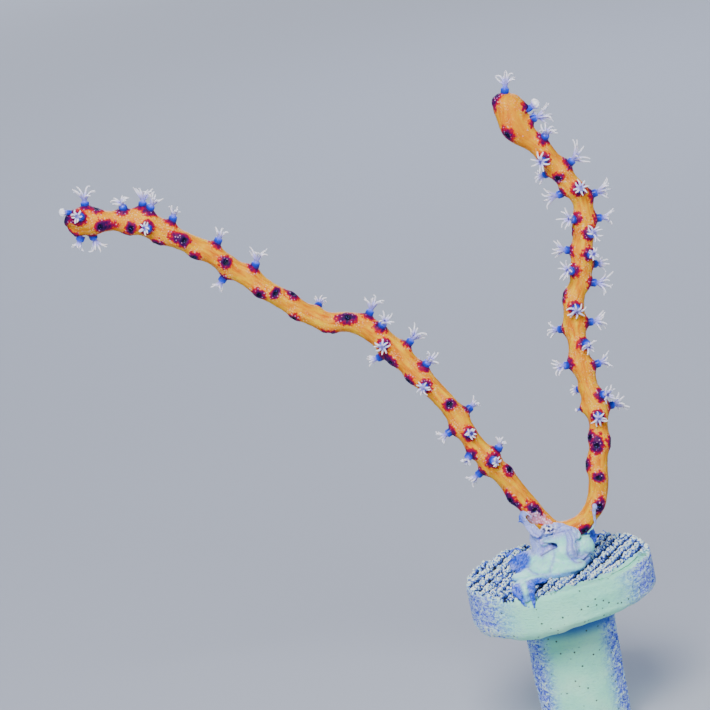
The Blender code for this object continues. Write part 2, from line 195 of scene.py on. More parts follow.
# %% The arms' routes
FORK = np.array((0.3 * MM, 0, HEAD_TOP + 3.6 * MM))
FAN_ROLL = math.radians(12)
FAN_LEAN = math.radians(10)
ROUTES = {
    "left": (
        (0.3, 0, -0.4), (-0.5, 0, 0.35), (-1.4, 0, 1.1), (-2.1, 0, 1.9), (-4.9, -0.2, 5.3),
        (-8.0, -0.4, 8.8), (-10.8, -0.2, 12.9), (-14.1, 0.3, 16.3), (-17.1, 0.7, 19.3),
        (-20.2, 0.9, 21.1), (-23.3, 1.1, 21.4), (-26.3, 1.0, 22.9), (-29.4, 0.8, 24.8),
        (-32.4, 0.6, 26.8), (-35.5, 0.3, 28.7), (-38.6, 0, 30.1), (-41.6, -0.3, 31.4),
        (-44.7, -0.5, 31.7), (-47.8, -0.5, 31.6), (-48.9, -0.6, 31.25),
    ),
    "right": (
        (-0.2, 0, -0.1), (0.9, 0, -0.1), (2.4, -0.1, 0.4), (3.7, -0.3, 1.6), (4.4, -0.4, 3.2),
        (4.6, -0.4, 5.1), (4.5, -0.2, 7.1), (4.7, 0, 9.2), (4.5, 0.3, 11.7), (3.7, 0.6, 14.6),
        (2.8, 0.8, 17.3), (2.4, 1.0, 19.9), (2.2, 0.9, 23.0), (2.7, 0.7, 25.5), (3.0, 0.4, 28.6),
        (3.1, 0.1, 31.6), (2.6, -0.2, 33.9), (0.8, -0.5, 36.3), (-1.4, -0.7, 38.8),
        (-3.7, -0.8, 40.7), (-4.5, -0.8, 42.5), (-4.4, -0.9, 44.4),
    ),
}
# Rod radius in mm at a distance in mm along each arm.
GIRTHS = {
    "left": (
        (0, 1.0), (6, 1.05), (12, 0.95), (18, 0.95), (24, 1.1), (30, 1.0), (36, 0.95),
        (41, 1.0), (46, 0.95), (50, 1.0), (54, 1.2), (57, 0.92), (60, 1.14), (62, 0.98),
    ),
    "right": (
        (0, 0.95), (4, 0.9), (6, 1.0), (9, 1.0), (13, 0.9), (16, 1.1), (18, 0.88), (20, 1.0),
        (23, 0.9), (25, 1.05), (30, 0.9), (34, 0.95), (36.5, 0.9), (40, 0.95), (45, 0.95),
        (46.6, 1.3), (48, 1.5), (50.5, 1.4),
    ),
}
CURVE_STEPS = 24
SAMPLE = 0.1 * MM


class Arm:
    """One arm's centreline, sampled evenly, with its girth and its frame."""

    def __init__(self, name):
        line = self.curve(np.array(ROUTES[name], float))
        gaps = np.linalg.norm(np.diff(line, axis=0), axis=1)
        along = np.concatenate([[0], np.cumsum(gaps)])
        self.name = name
        self.length = along[-1]
        self.s = np.append(np.arange(0, self.length, SAMPLE), self.length)
        self.line = np.column_stack([np.interp(self.s, along, line[:, k]) for k in range(3)])
        tangent = np.gradient(self.line, axis=0)
        self.tangent = tangent / np.linalg.norm(tangent, axis=1)[:, None]
        front = np.array((0, -1.0, 0)) - self.tangent * -self.tangent[:, 1:2]
        self.front = front / np.linalg.norm(front, axis=1)[:, None]
        self.side = np.cross(self.tangent, self.front)
        girth = np.array(GIRTHS[name])
        core = np.interp(self.s / MM, girth[:, 0], girth[:, 1]) * MM
        window = np.ones(15) / 15
        self.core = np.convolve(np.pad(core, 7, "edge"), window, "valid")

    @staticmethod
    def curve(route):
        """A Catmull-Rom curve through the route, turned and set on the fork."""
        turn = Matrix.Rotation(FAN_ROLL, 3, "Y") @ Matrix.Rotation(-FAN_LEAN, 3, "X")
        knots = np.vstack([2 * route[0] - route[1], route, 2 * route[-1] - route[-2]])
        a, b, c, d = knots[:-3], knots[1:-2], knots[2:-1], knots[3:]
        t = (np.arange(CURVE_STEPS) / CURVE_STEPS)[:, None, None]
        points = 0.5 * (2 * b + (c - a) * t + (2 * a - 5 * b + 4 * c - d) * t**2
                        + (3 * b - a - 3 * c + d) * t**3)
        points = np.vstack([points.transpose(1, 0, 2).reshape(-1, 3), route[-1]])
        return FORK + points @ np.array(turn).T * MM

    def sample(self, values, s):
        """These values of the arm's samples, read at s metres along it."""
        if values.ndim == 1:
            return np.interp(s, self.s, values)
        return np.stack([np.interp(s, self.s, values[:, k]) for k in range(3)], axis=-1)

    def outward(self, s, around):
        front, side = self.sample(self.front, s), self.sample(self.side, s)
        return front * np.cos(around)[..., None] + side * np.sin(around)[..., None]


ARMS = [Arm("left"), Arm("right")]
for arm in ARMS:
    print(arm.name, "arm is", round(arm.length / MM, 1), "mm long")

# %% [markdown]
# Every polyp has a seat: how far along its arm it sits, how far around from the front, how
# wide its crown spreads and how it leans. Those that face the viewer open flat as stars,
# and those at the sides stand as cups. A polyp that is drawn in leaves a closed calyx, with painted
# shade in its mouth.

# %% Where the polyps sit
# mm along the arm, degrees around it, the crown's spread in mm, degrees of lean to the tip
OPEN_POLYPS = {
    "left": (
        (9.9, -90, 1.5, 0), (10.2, 20, 1.2, -30), (10.6, 84, 1.2, 30), (12.0, -52, 1.1, -20),
        (13.8, 14, 1.2, 0), (14.9, -80, 1.6, 0), (15.8, 108, 1.3, 10), (20.3, -12, 1.5, 0),
        (21.8, 66, 1.8, 0), (24.6, 90, 2.2, 8), (25.7, -100, 1.3, 25), (26.3, -9, 1.7, 0),
        (27.6, 58, 1.8, 0), (29.1, 92, 2.2, 5), (34.2, 146, 1.4, 0), (42.2, 84, 2.0, 20),
        (44.1, -86, 1.4, 0), (46.6, 90, 1.5, 10), (51.6, 90, 1.3, 15), (53.7, 2, 1.4, 45),
        (53.9, 80, 1.6, -5), (54.5, 98, 2.1, 5), (56.2, 74, 1.8, 25), (59.2, -100, 1.9, -20),
        (59.8, 90, 2.3, 0), (60.4, 30, 1.4, 35), (61.0, -84, 1.3, 40), (7.2, 176, 1.5, 0),
        (12.6, -176, 1.4, 10), (18.3, -172, 1.4, 0), (22.8, 178, 1.4, 0), (31.2, -168, 1.3, 8),
        (38.6, -166, 1.3, 0), (44.6, -176, 1.4, 0), (50.2, -170, 1.4, 10), (57.2, -172, 1.5, 12),
    ),
    "right": (
        (14.6, 0, 1.8, -35), (15.4, 106, 2.0, 0), (16.6, 46, 2.1, -15), (17.8, -142, 1.2, 0),
        (19.7, 90, 1.7, 0), (20.5, -76, 1.7, 5), (22.2, 34, 1.8, -40), (23.9, -118, 1.6, 0),
        (24.4, 90, 1.9, 0), (26.1, 2, 2.1, -35), (28.9, 82, 2.5, 5), (29.9, -48, 2.2, 8),
        (30.6, 116, 1.6, 0), (31.8, 30, 1.3, 15), (31.9, -90, 1.8, 0), (33.9, 26, 2.0, 20),
        (35.2, 88, 1.8, 0), (35.4, -54, 2.2, 15), (37.3, 90, 2.2, 0), (38.5, 20, 1.7, 15),
        (39.0, -88, 2.4, 20), (41.0, 74, 3.0, 10), (41.4, -120, 1.6, 10), (43.0, -24, 2.2, 20),
        (44.5, 60, 2.1, 20), (46.6, 84, 2.5, -25), (7.6, 176, 1.5, 0), (12.6, -176, 1.4, 0),
        (21.6, 178, 1.5, 5), (27.3, -178, 1.4, 0), (33.4, 176, 1.5, 0), (37.6, 178, 1.5, 0),
        (43.8, -176, 1.5, 10),
    ),
}
# mm along the arm, degrees around it, mm that its red runs back and on along the arm
CLOSED_CALYCES = {
    "left": (
        (3.5, 17, 1.7, 1.3), (5.8, -50, 1.8, 1.3), (8.3, 55, 0.8, 0.7), (17.3, 15, 0.7, 0.7),
        (21.9, -60, 0.9, 0.8), (24.5, -55, 1.0, 1.6), (30.7, 35, 0.9, 1.5), (32.5, -75, 1.0, 0.8),
        (36.0, -60, 0.7, 0.7), (37.3, 75, 0.9, 1.1), (39.0, 20, 0.6, 0.6), (40.3, -35, 0.9, 0.8),
        (44.9, 15, 0.8, 0.9), (48.0, -55, 0.8, 0.7), (49.7, 15, 0.7, 2.0), (52.0, -65, 1.0, 0.8),
        (55.3, -18, 0.7, 0.7), (55.6, -78, 0.8, 0.7), (58.4, -16, 1.8, 0.7), (58.7, 80, 0.7, 0.7),
        (9.6, -140, 0.7, 0.9), (15.5, -178, 0.8, 0.8), (27.4, 160, 0.8, 0.8),
        (34.8, -160, 0.9, 0.8), (41.6, 150, 0.7, 1.2), (47.5, -170, 0.8, 0.8), (53.9, 168, 0.7, 0.7),
    ),
    "right": (
        (3.1, 35, 0.6, 0.8), (5.7, 15, 0.9, 0.9), (8.4, -5, 0.5, 0.7), (9.7, -75, 0.7, 0.8),
        (11.6, -20, 1.0, 1.4), (12.0, 72, 0.8, 0.8), (12.5, -62, 0.8, 0.9), (27.0, -90, 0.8, 0.8),
        (34.0, -104, 0.6, 0.6), (40.6, -32, 0.6, 0.6), (47.2, -44, 0.7, 0.7),
        (10.2, 150, 0.8, 0.8), (15.4, 178, 0.8, 1.0), (24.6, -165, 0.8, 0.8),
        (30.3, 172, 0.8, 0.8), (40.6, 160, 0.7, 0.9), (46.2, -150, 0.8, 0.8),
    ),
}
# mm along the arm, degrees around it, the bud's radius in mm, degrees of lean
BUDS = {
    "left": ((61.2, 60, 0.4, 60),),
    "right": ((15.8, -92, 0.2, 0), (47.4, 100, 0.22, 0), (49.3, 76, 0.5, 35)),
}
# The crown at the upright arm's tip has a blush around its foot too.
TIP_BLUSH = {"left": (), "right": ((49.9, -90),)}
BROAD_RISE, BROAD_WIDTH = 0.44 * MM, 0.85 * MM
COLLAR_RISE, COLLAR_WIDTH = 0.2 * MM, 0.42 * MM
CLOSED_SHARE = 0.72
PIT_DEPTH, PIT_WIDTH = 0.34 * MM, 0.24 * MM
MOST_RISE = 1.1 * MM
FAR = 9.0
BLUSH_REACH, BLUSH_WIDTH = 0.82, 0.72


def seats_of(name):
    """Rows of s, angle, closed, and the blush's reach back, on and sideways, in metres."""
    rows = [(s, a, 0, BLUSH_REACH, BLUSH_REACH, BLUSH_WIDTH) for s, a, *_ in OPEN_POLYPS[name]]
    rows += [(s, a, 0, 1.5 * r + 0.2, 1.5 * r + 0.2, 1.5 * r + 0.1) for s, a, r, _ in BUDS[name]]
    rows += [(s, a, 0, 0.9, 0.9, 0.9) for s, a in TIP_BLUSH[name]]
    rows += [(s, a, 1, back, on, BLUSH_WIDTH) for s, a, back, on in CLOSED_CALYCES[name]]
    rows = np.array(rows, float)
    rows[:, [0, 3, 4, 5]] *= MM
    rows[:, 1] = np.radians(rows[:, 1])
    return rows


def calyx_relief(name, s, around, core):
    """How far calyces raise the rind there, and how far off the nearest of them are.

    The second value is 1 at the rim of a calyx's blush. The third is the distance in mm to
    the mouth of a closed one.
    """
    rise = np.zeros(len(s))
    pit = np.zeros(len(s))
    away = np.full(len(s), FAR)
    mouth = np.full(len(s), FAR)
    for seat, angle, shut, back, on, wide in seats_of(name):
        along = s - seat
        turn = np.remainder(around - angle + math.pi, math.tau) - math.pi
        turn = turn * core
        square = along**2 + turn**2
        share = CLOSED_SHARE if shut else 1.0
        rise += share * BROAD_RISE * np.exp(-square / BROAD_WIDTH**2)
        rise += share * COLLAR_RISE * np.exp(-square / COLLAR_WIDTH**2)
        pit += shut * PIT_DEPTH * np.exp(-square / PIT_WIDTH**2)
        reach = np.where(along < 0, back, on)
        away = np.minimum(away, np.hypot(along / reach, turn / wide))
        if shut:
            mouth = np.minimum(mouth, np.sqrt(square) / MM)
    return MOST_RISE * np.tanh(rise / MOST_RISE) - pit, away, mouth


print(sum(len(seats_of(arm.name)) for arm in ARMS), "calyces")

# %% [markdown]
# The colony's rind grew as one skin, so it is made as one. Each arm is swept as a plain
# tube, the tubes and the cut foot are fused by a voxel remesh, and the new skin is relaxed
# until the steps of the voxels are gone. Then every point of it looks up where on which arm
# it lies, and is pushed out by the calyces there. This keeps the crotch smooth, which is
# hard to do with swept tubes alone.

# %% Mesh helpers


def mesh_object(name, points, faces):
    mesh = bpy.data.meshes.new(name)
    mesh.from_pydata([tuple(p) for p in points], [], [tuple(f) for f in faces])
    mesh.update()
    obj = bpy.data.objects.new(name, mesh)
    bpy.context.scene.collection.objects.link(obj)
    return obj


def ring_skin(rings):
    """Points and faces of a closed skin over a row of equal rings, with flat ends."""
    rings = np.array(rings)
    count, sides = rings.shape[:2]
    index = np.arange(count * sides).reshape(count, sides)
    low, high = index[:-1], index[1:]
    quads = np.stack([low, np.roll(low, -1, 1), np.roll(high, -1, 1), high], axis=-1)
    faces = [list(f) for f in quads.reshape(-1, 4)]
    faces.append(list(index[0][::-1]))
    faces.append(list(index[-1]))
    return rings.reshape(-1, 3), faces


def applied(obj):
    """Turns an object's evaluated mesh into its own plain mesh."""
    graph = bpy.context.evaluated_depsgraph_get()
    mesh = bpy.data.meshes.new_from_object(obj.evaluated_get(graph))
    obj.modifiers.clear()
    obj.data = mesh
    return obj


def fused(name, shells, voxel):
    """One closed skin around overlapping closed shells, each of points and faces."""
    points, faces, start = [], [], 0
    for shell_points, shell_faces in shells:
        points.extend(shell_points)
        faces.extend([start + i for i in face] for face in shell_faces)
        start += len(shell_points)
    obj = mesh_object(name, points, faces)
    remesh = obj.modifiers.new("fuse", "REMESH")
    remesh.mode = "VOXEL"
    remesh.voxel_size = voxel
    return applied(obj)


def points_of(mesh):
    points = np.empty(len(mesh.vertices) * 3)
    mesh.vertices.foreach_get("co", points)
    return points.reshape(-1, 3)


def edges_of(mesh):
    edges = np.empty(len(mesh.edges) * 2, int)
    mesh.edges.foreach_get("vertices", edges)
    return edges.reshape(-1, 2)


def normals_of(mesh):
    normals = np.empty(len(mesh.vertices) * 3)
    mesh.vertex_normals.foreach_get("vector", normals)
    return normals.reshape(-1, 3)


def averaged(values, edges):
    """Each point's mean over its neighbours."""
    total = np.zeros_like(values)
    count = np.bincount(edges.ravel(), minlength=len(values)).astype(float)
    for k in range(values.shape[1]):
        total[:, k] = np.bincount(edges[:, 0], values[edges[:, 1], k], len(values))
        total[:, k] += np.bincount(edges[:, 1], values[edges[:, 0], k], len(values))
    return total / count[:, None]


def relax(mesh, rounds, share=0.6):
    points, edges = points_of(mesh), edges_of(mesh)
    for _ in range(rounds):
        points += (averaged(points, edges) - points) * share
    set_points(mesh, points)


def set_points(mesh, points):
    mesh.vertices.foreach_set("co", points.ravel())
    mesh.update()


def set_attribute(mesh, name, values):
    values = np.asarray(values, float)
    kind = "FLOAT" if values.ndim == 1 else "FLOAT_VECTOR"
    layer = mesh.attributes.new(name, kind, "POINT")
    layer.data.foreach_set("value" if kind == "FLOAT" else "vector", values.ravel())


def noise_at(points, size, depth=3, seed=0):
    """Fractal noise, about -1 to 1, with lumps of this size in mm."""
    shift = Vector((seed * 7.3, seed * 3.1, seed * 5.7))
    scale = per_mm(size)
    return np.array([noise.fractal(Vector(p) * scale + shift, 0.9, 2.1, depth) for p in points])


def eased(values, low, high):
    """0 below low, 1 above high and a smooth step between them."""
    t = np.clip((values - low) / (high - low), 0, 1)
    return t * t * (3 - 2 * t)


def distance_to(points, row):
    """The distance from each point to the nearest of a row's stretches."""
    row = np.array(row)
    best = np.full(len(points), np.inf)
    for a, b in zip(row, row[1:]):
        t = np.clip(((points - a) @ (b - a)) / ((b - a) @ (b - a)), 0, 1)
        best = np.minimum(best, np.linalg.norm(points - a - t[:, None] * (b - a), axis=1))
    return best


def seen(points):
    """Right and up in mm of points in the picture, from the middle of the head's top."""
    offset = np.vstack([points, (0, 0, HEAD_TOP)]) - np.array(aim + view_back * VIEW_DISTANCE)
    share = VIEW_DISTANCE / -(offset @ np.array(view_back))
    flat = np.column_stack([offset @ np.array(view_right), offset @ np.array(view_up)])
    flat *= share[:, None] / MM
    return flat[:-1] - flat[-1]


# %% The rind's skin
TUBE_SIDES = 28
TUBE_STEP = 0.4 * MM
RIND_VOXEL = 0.14 * MM
FOOT_DEPTH = 2.4 * MM
FOOT_RADIUS = 1.25 * MM
NEAREST_CHUNK = 4000
VEIL = (-2.5, 4.75), (-1.7, 4.4), (-0.9, 3.95)
VEIL_WIDTH = 0.62


def arm_shell(arm):
    tip = arm.core[-1]
    stations = list(np.arange(0, arm.length - tip, TUBE_STEP)) + [arm.length - tip]
    shares = [1.0] * len(stations)
    for t in (0.25, 0.45, 0.65, 0.8, 0.92, 0.985):
        stations.append(arm.length - tip + tip * t)
        shares.append(math.sqrt(1 - t**2))
    turns = np.arange(TUBE_SIDES) * math.tau / TUBE_SIDES
    rings = []
    for s, share in zip(stations, shares):
        here = np.full(TUBE_SIDES, s)
        place = arm.sample(arm.line, here)
        reach = arm.sample(arm.core, here)[:, None] * share
        rings.append(place + arm.outward(here, turns) * reach)
    return ring_skin(rings)


def foot_shell():
    turns = np.arange(TUBE_SIDES) * math.tau / TUBE_SIDES
    rings = []
    for share, radius in ((1, 0.85), (0, 1.0), (-0.1, 0.8)):
        ring = np.column_stack([np.cos(turns), np.sin(turns), np.zeros(TUBE_SIDES)])
        rings.append(ring * FOOT_RADIUS * radius + FORK - np.array((0, 0, FOOT_DEPTH * share)))
    return ring_skin(rings)


def nearest_arm(points):
    """For each point: its arm's number, the distance along it and the angle around it."""
    which = np.empty(len(points), int)
    sample = np.empty(len(points), int)
    for start in range(0, len(points), NEAREST_CHUNK):
        chunk = points[start:start + NEAREST_CHUNK]
        best = np.full(len(chunk), np.inf)
        for number, arm in enumerate(ARMS):
            square = ((chunk[:, None, :] - arm.line[None]) ** 2).sum(axis=2)
            index = square.argmin(axis=1)
            least = square[np.arange(len(chunk)), index]
            closer = least < best
            best = np.where(closer, least, best)
            which[start:start + len(chunk)][closer] = number
            sample[start:start + len(chunk)][closer] = index[closer]
    return which, sample


def make_rind():
    obj = fused("rind", [arm_shell(arm) for arm in ARMS] + [foot_shell()], RIND_VOXEL)
    mesh = obj.data
    relax(mesh, 8)
    points, normals = points_of(mesh), normals_of(mesh)
    which, sample = nearest_arm(points)
    rise = np.zeros(len(points))
    away = np.zeros(len(points))
    mouth = np.zeros(len(points))
    grain = np.zeros((len(points), 3))
    tip = np.zeros(len(points))
    for number, arm in enumerate(ARMS):
        mine = which == number
        at = sample[mine]
        offset = points[mine] - arm.line[at]
        around = np.arctan2((offset * arm.side[at]).sum(1), (offset * arm.front[at]).sum(1))
        s, core = arm.s[at], arm.core[at]
        rise[mine], away[mine], mouth[mine] = calyx_relief(arm.name, s, around, core)
        grain[mine] = np.column_stack([np.cos(around), np.sin(around), s / MM / 4 + 40 * number])
        tip[mine] = np.clip((s - arm.length + 14 * MM) / (14 * MM), 0, 1)
    lumps = noise_at(points, 1.6, 2) * 0.05 * MM + noise_at(points, 0.4, 2, 3) * 0.022 * MM
    set_points(mesh, points + normals * (rise + lumps)[:, None])
    set_attribute(mesh, "away", away)
    set_attribute(mesh, "mouth", mouth)
    set_attribute(mesh, "grain", grain)
    set_attribute(mesh, "tip", tip)
    veil = np.exp(-(distance_to(seen(points), VEIL) / VEIL_WIDTH) ** 2)
    set_attribute(mesh, "veil", veil * eased(normals @ np.array(view_back), 0, 0.3))
    mesh.shade_smooth()
    return obj


rind = make_rind()
print("rind has", len(rind.data.polygons), "faces")

# %% [markdown]
# Living rind is a leathery tissue packed with tiny calcite needles, the sclerites. That
# gives it a fine grain, a waxy sheen and a scatter of pale specks. Each calyx blushes from
# crimson to purple, in streaks that follow the arm, and a closed one has near-black painted shade in
# its mouth.

# %% Rind material


def rind_material():
    made, tree, shader = new_material("sea_rod_rind")
    here = add(tree, "ShaderNodeTexCoord").outputs["Object"]
    grain = add(tree, "ShaderNodeAttribute", attribute_name="grain").outputs["Vector"]
    tip = add(tree, "ShaderNodeAttribute", attribute_name="tip").outputs["Fac"]
    away = add(tree, "ShaderNodeAttribute", attribute_name="away").outputs["Fac"]
    gape = add(tree, "ShaderNodeAttribute", attribute_name="mouth").outputs["Fac"]
    # Lengthwise streaks, about 0.6 mm wide and four times as long.
    streak = add(tree, "ShaderNodeTexNoise", {"Vector": grain, "Scale": 2.2, "Detail": 4.0,
                                              "Roughness": 0.6}).outputs["Fac"]
    base = add(tree, "ShaderNodeValToRGB", {"Fac": streak}, stops=(
        (0.3, "#CE6400"), (0.42, "#E28600"), (0.55, "#EEA600"), (0.75, "#F8C800"))).outputs["Color"]
    browner = add(tree, "ShaderNodeMath", {0: tip, 1: 0.5}, operation="MULTIPLY").outputs[0]
    base = add(tree, "ShaderNodeMixRGB", {"Fac": browner, "Color1": base,
                                          "Color2": linear("#DE8000")}).outputs["Color"]
    # Sclerites show as pale flecks an eighth of a millimetre across, which gather in patches
    # and around the calyces.
    fleck = add(tree, "ShaderNodeTexVoronoi", {"Vector": here, "Scale": per_mm(0.22)})
    near = add(tree, "ShaderNodeMapRange", {"Value": fleck.outputs["Distance"], "From Min": 0.42,
                                            "From Max": 0.16}).outputs[0]
    patch = add(tree, "ShaderNodeTexNoise", {"Vector": here, "Scale": per_mm(1.6),
                                             "Detail": 2.0}).outputs["Fac"]
    ring = add(tree, "ShaderNodeMapRange", {"Value": away, "From Min": 2.0, "From Max": 1.1,
                                            "To Max": 0.16}).outputs[0]
    gather = add(tree, "ShaderNodeMath", {0: ring, 1: patch}, operation="ADD").outputs[0]
    gather = add(tree, "ShaderNodeMapRange", {"Value": gather, "From Min": 0.5, "From Max": 0.74,
                                              "To Max": 0.6}).outputs[0]
    dust = add(tree, "ShaderNodeMath", {0: near, 1: gather}, operation="MULTIPLY").outputs[0]
    base = add(tree, "ShaderNodeMixRGB", {"Fac": dust, "Color1": base,
                                          "Color2": linear("#FFCFA0")}).outputs["Color"]
    # The blush: its distance from the calyx is roughened so that its edge is ragged.
    rough = add(tree, "ShaderNodeTexNoise", {"Vector": here, "Scale": per_mm(0.35),
                                             "Detail": 3.0}).outputs["Fac"]
    rough = add(tree, "ShaderNodeMath", {0: rough, 1: 0.5}, operation="SUBTRACT").outputs[0]
    ragged = add(tree, "ShaderNodeMath", {0: rough, 1: 1.3, 2: away},
                 operation="MULTIPLY_ADD").outputs[0]
    blush = add(tree, "ShaderNodeValToRGB", {"Fac": ragged}, stops=(
        (0.0, "#14053A"), (0.38, "#360050"), (0.62, "#70004C"), (0.84, "#B00026"),
        (1.0, "#DC3A00"))).outputs["Color"]
    cover = add(tree, "ShaderNodeMapRange", {"Value": ragged, "From Min": 1.1,
                                             "From Max": 0.9}).outputs[0]
    colour = add(tree, "ShaderNodeMixRGB", {"Fac": cover, "Color1": base,
                                            "Color2": blush}).outputs["Color"]
    # Pale lilac needles stand in rows on the calyx's wall.
    needle = add(tree, "ShaderNodeTexVoronoi", {"Vector": here, "Scale": per_mm(0.26)})
    close = add(tree, "ShaderNodeMapRange", {"Value": needle.outputs["Distance"],
                                             "From Min": 0.36, "From Max": 0.14}).outputs[0]
    pick = add(tree, "ShaderNodeSeparateColor", {"Color": needle.outputs["Color"]}).outputs[0]
    chosen = add(tree, "ShaderNodeMath", {0: pick, 1: 0.62}, operation="GREATER_THAN").outputs[0]
    band = add(tree, "ShaderNodeMapRange", {"Value": away, "From Min": 1.35,
                                            "From Max": 0.9, "To Max": 0.6}).outputs[0]
    needles = add(tree, "ShaderNodeMath", {0: close, 1: chosen}, operation="MULTIPLY").outputs[0]
    needles = add(tree, "ShaderNodeMath", {0: needles, 1: band}, operation="MULTIPLY").outputs[0]
    colour = add(tree, "ShaderNodeMixRGB", {"Fac": needles, "Color1": colour,
                                            "Color2": linear("#EFB6E8")}).outputs["Color"]
    # Beside the fork a torn veil of glue clings to the rind, pink where the red shows through.
    veil = add(tree, "ShaderNodeAttribute", attribute_name="veil").outputs["Fac"]
    veil = add(tree, "ShaderNodeMath", {0: rough, 1: 2.2, 2: veil}, operation="MULTIPLY_ADD").outputs[0]
    veil = add(tree, "ShaderNodeMapRange", {"Value": veil, "From Min": 0.42, "From Max": 0.6,
                                            "To Max": 0.85}).outputs[0]
    torn = add(tree, "ShaderNodeValToRGB", {"Fac": fleck.outputs["Distance"]}, stops=(
        (0.2, "#FFF4FA"), (0.42, "#E0B4E0"), (0.6, "#D890A8"))).outputs["Color"]
    colour = add(tree, "ShaderNodeMixRGB", {"Fac": veil, "Color1": colour,
                                            "Color2": torn}).outputs["Color"]
    # Painted shade, near black, in the pit at the mouth of a closed calyx, and the pale scraps of the
    # polyp in it.
    mouth = add(tree, "ShaderNodeMapRange", {"Value": gape, "From Min": 0.32,
                                             "From Max": 0.2}).outputs[0]
    colour = add(tree, "ShaderNodeMixRGB", {"Fac": mouth, "Color1": colour,
                                            "Color2": linear("#0C0628")}).outputs["Color"]
    scrap = add(tree, "ShaderNodeTexVoronoi", {"Vector": here, "Scale": per_mm(0.2)})
    scrap_near = add(tree, "ShaderNodeMapRange", {"Value": scrap.outputs["Distance"],
                                                  "From Min": 0.22, "From Max": 0.12}).outputs[0]
    scraps = add(tree, "ShaderNodeMath", {0: scrap_near, 1: mouth},
                 operation="MULTIPLY").outputs[0]
    colour = add(tree, "ShaderNodeMixRGB", {"Fac": scraps, "Color1": colour,
                                            "Color2": linear("#5A66D8")}).outputs["Color"]
    tree.links.new(colour, shader.inputs["Base Color"])
    # Tissue over the needles: a pebbled relief of about a quarter of a millimetre.
    pebble = add(tree, "ShaderNodeTexNoise", {"Vector": here, "Scale": per_mm(0.24),
                                              "Detail": 3.0}).outputs["Fac"]
    bump = add(tree, "ShaderNodeBump", {"Height": pebble, "Strength": 0.35,
                                        "Distance": 0.12 * MM}).outputs["Normal"]
    tree.links.new(bump, shader.inputs["Normal"])
    shader.inputs["Roughness"].default_value = 0.5
    shader.inputs["IOR"].default_value = 1.4
    shader.inputs["Specular IOR Level"].default_value = 0.15
    shader.inputs["Subsurface Weight"].default_value = 0.12
    shader.inputs["Subsurface Radius"].default_value = (1.0, 0.35, 0.08)
    shader.inputs["Subsurface Scale"].default_value = 0.4 * MM
    return made


rind.data.materials.append(rind_material())
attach(rind, "root")
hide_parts("trunk", "left_branch", "right_branch")

# %% [markdown]
# An open polyp is a short clear stalk with a ring of eight tentacles around its mouth. They
# follow one rule and repeat hundreds of times, so Geometry Nodes make them. Each seat is a
# point that carries its axis, spread and lift as attributes. The tree copies it eight times,
# lays a line on each copy and bends that line by the rule, with a little chance in it, and
# a second line makes the stalk. Curve to Mesh then gives both their thickness.

# %% The polyps' node tree
TENTACLE_POINTS = 15
STALK_POINTS = 14
STALK_ROOT = 0.3 * MM
COLUMN_SHARE = 0.56
CROWN_DROP = 0.14 * MM


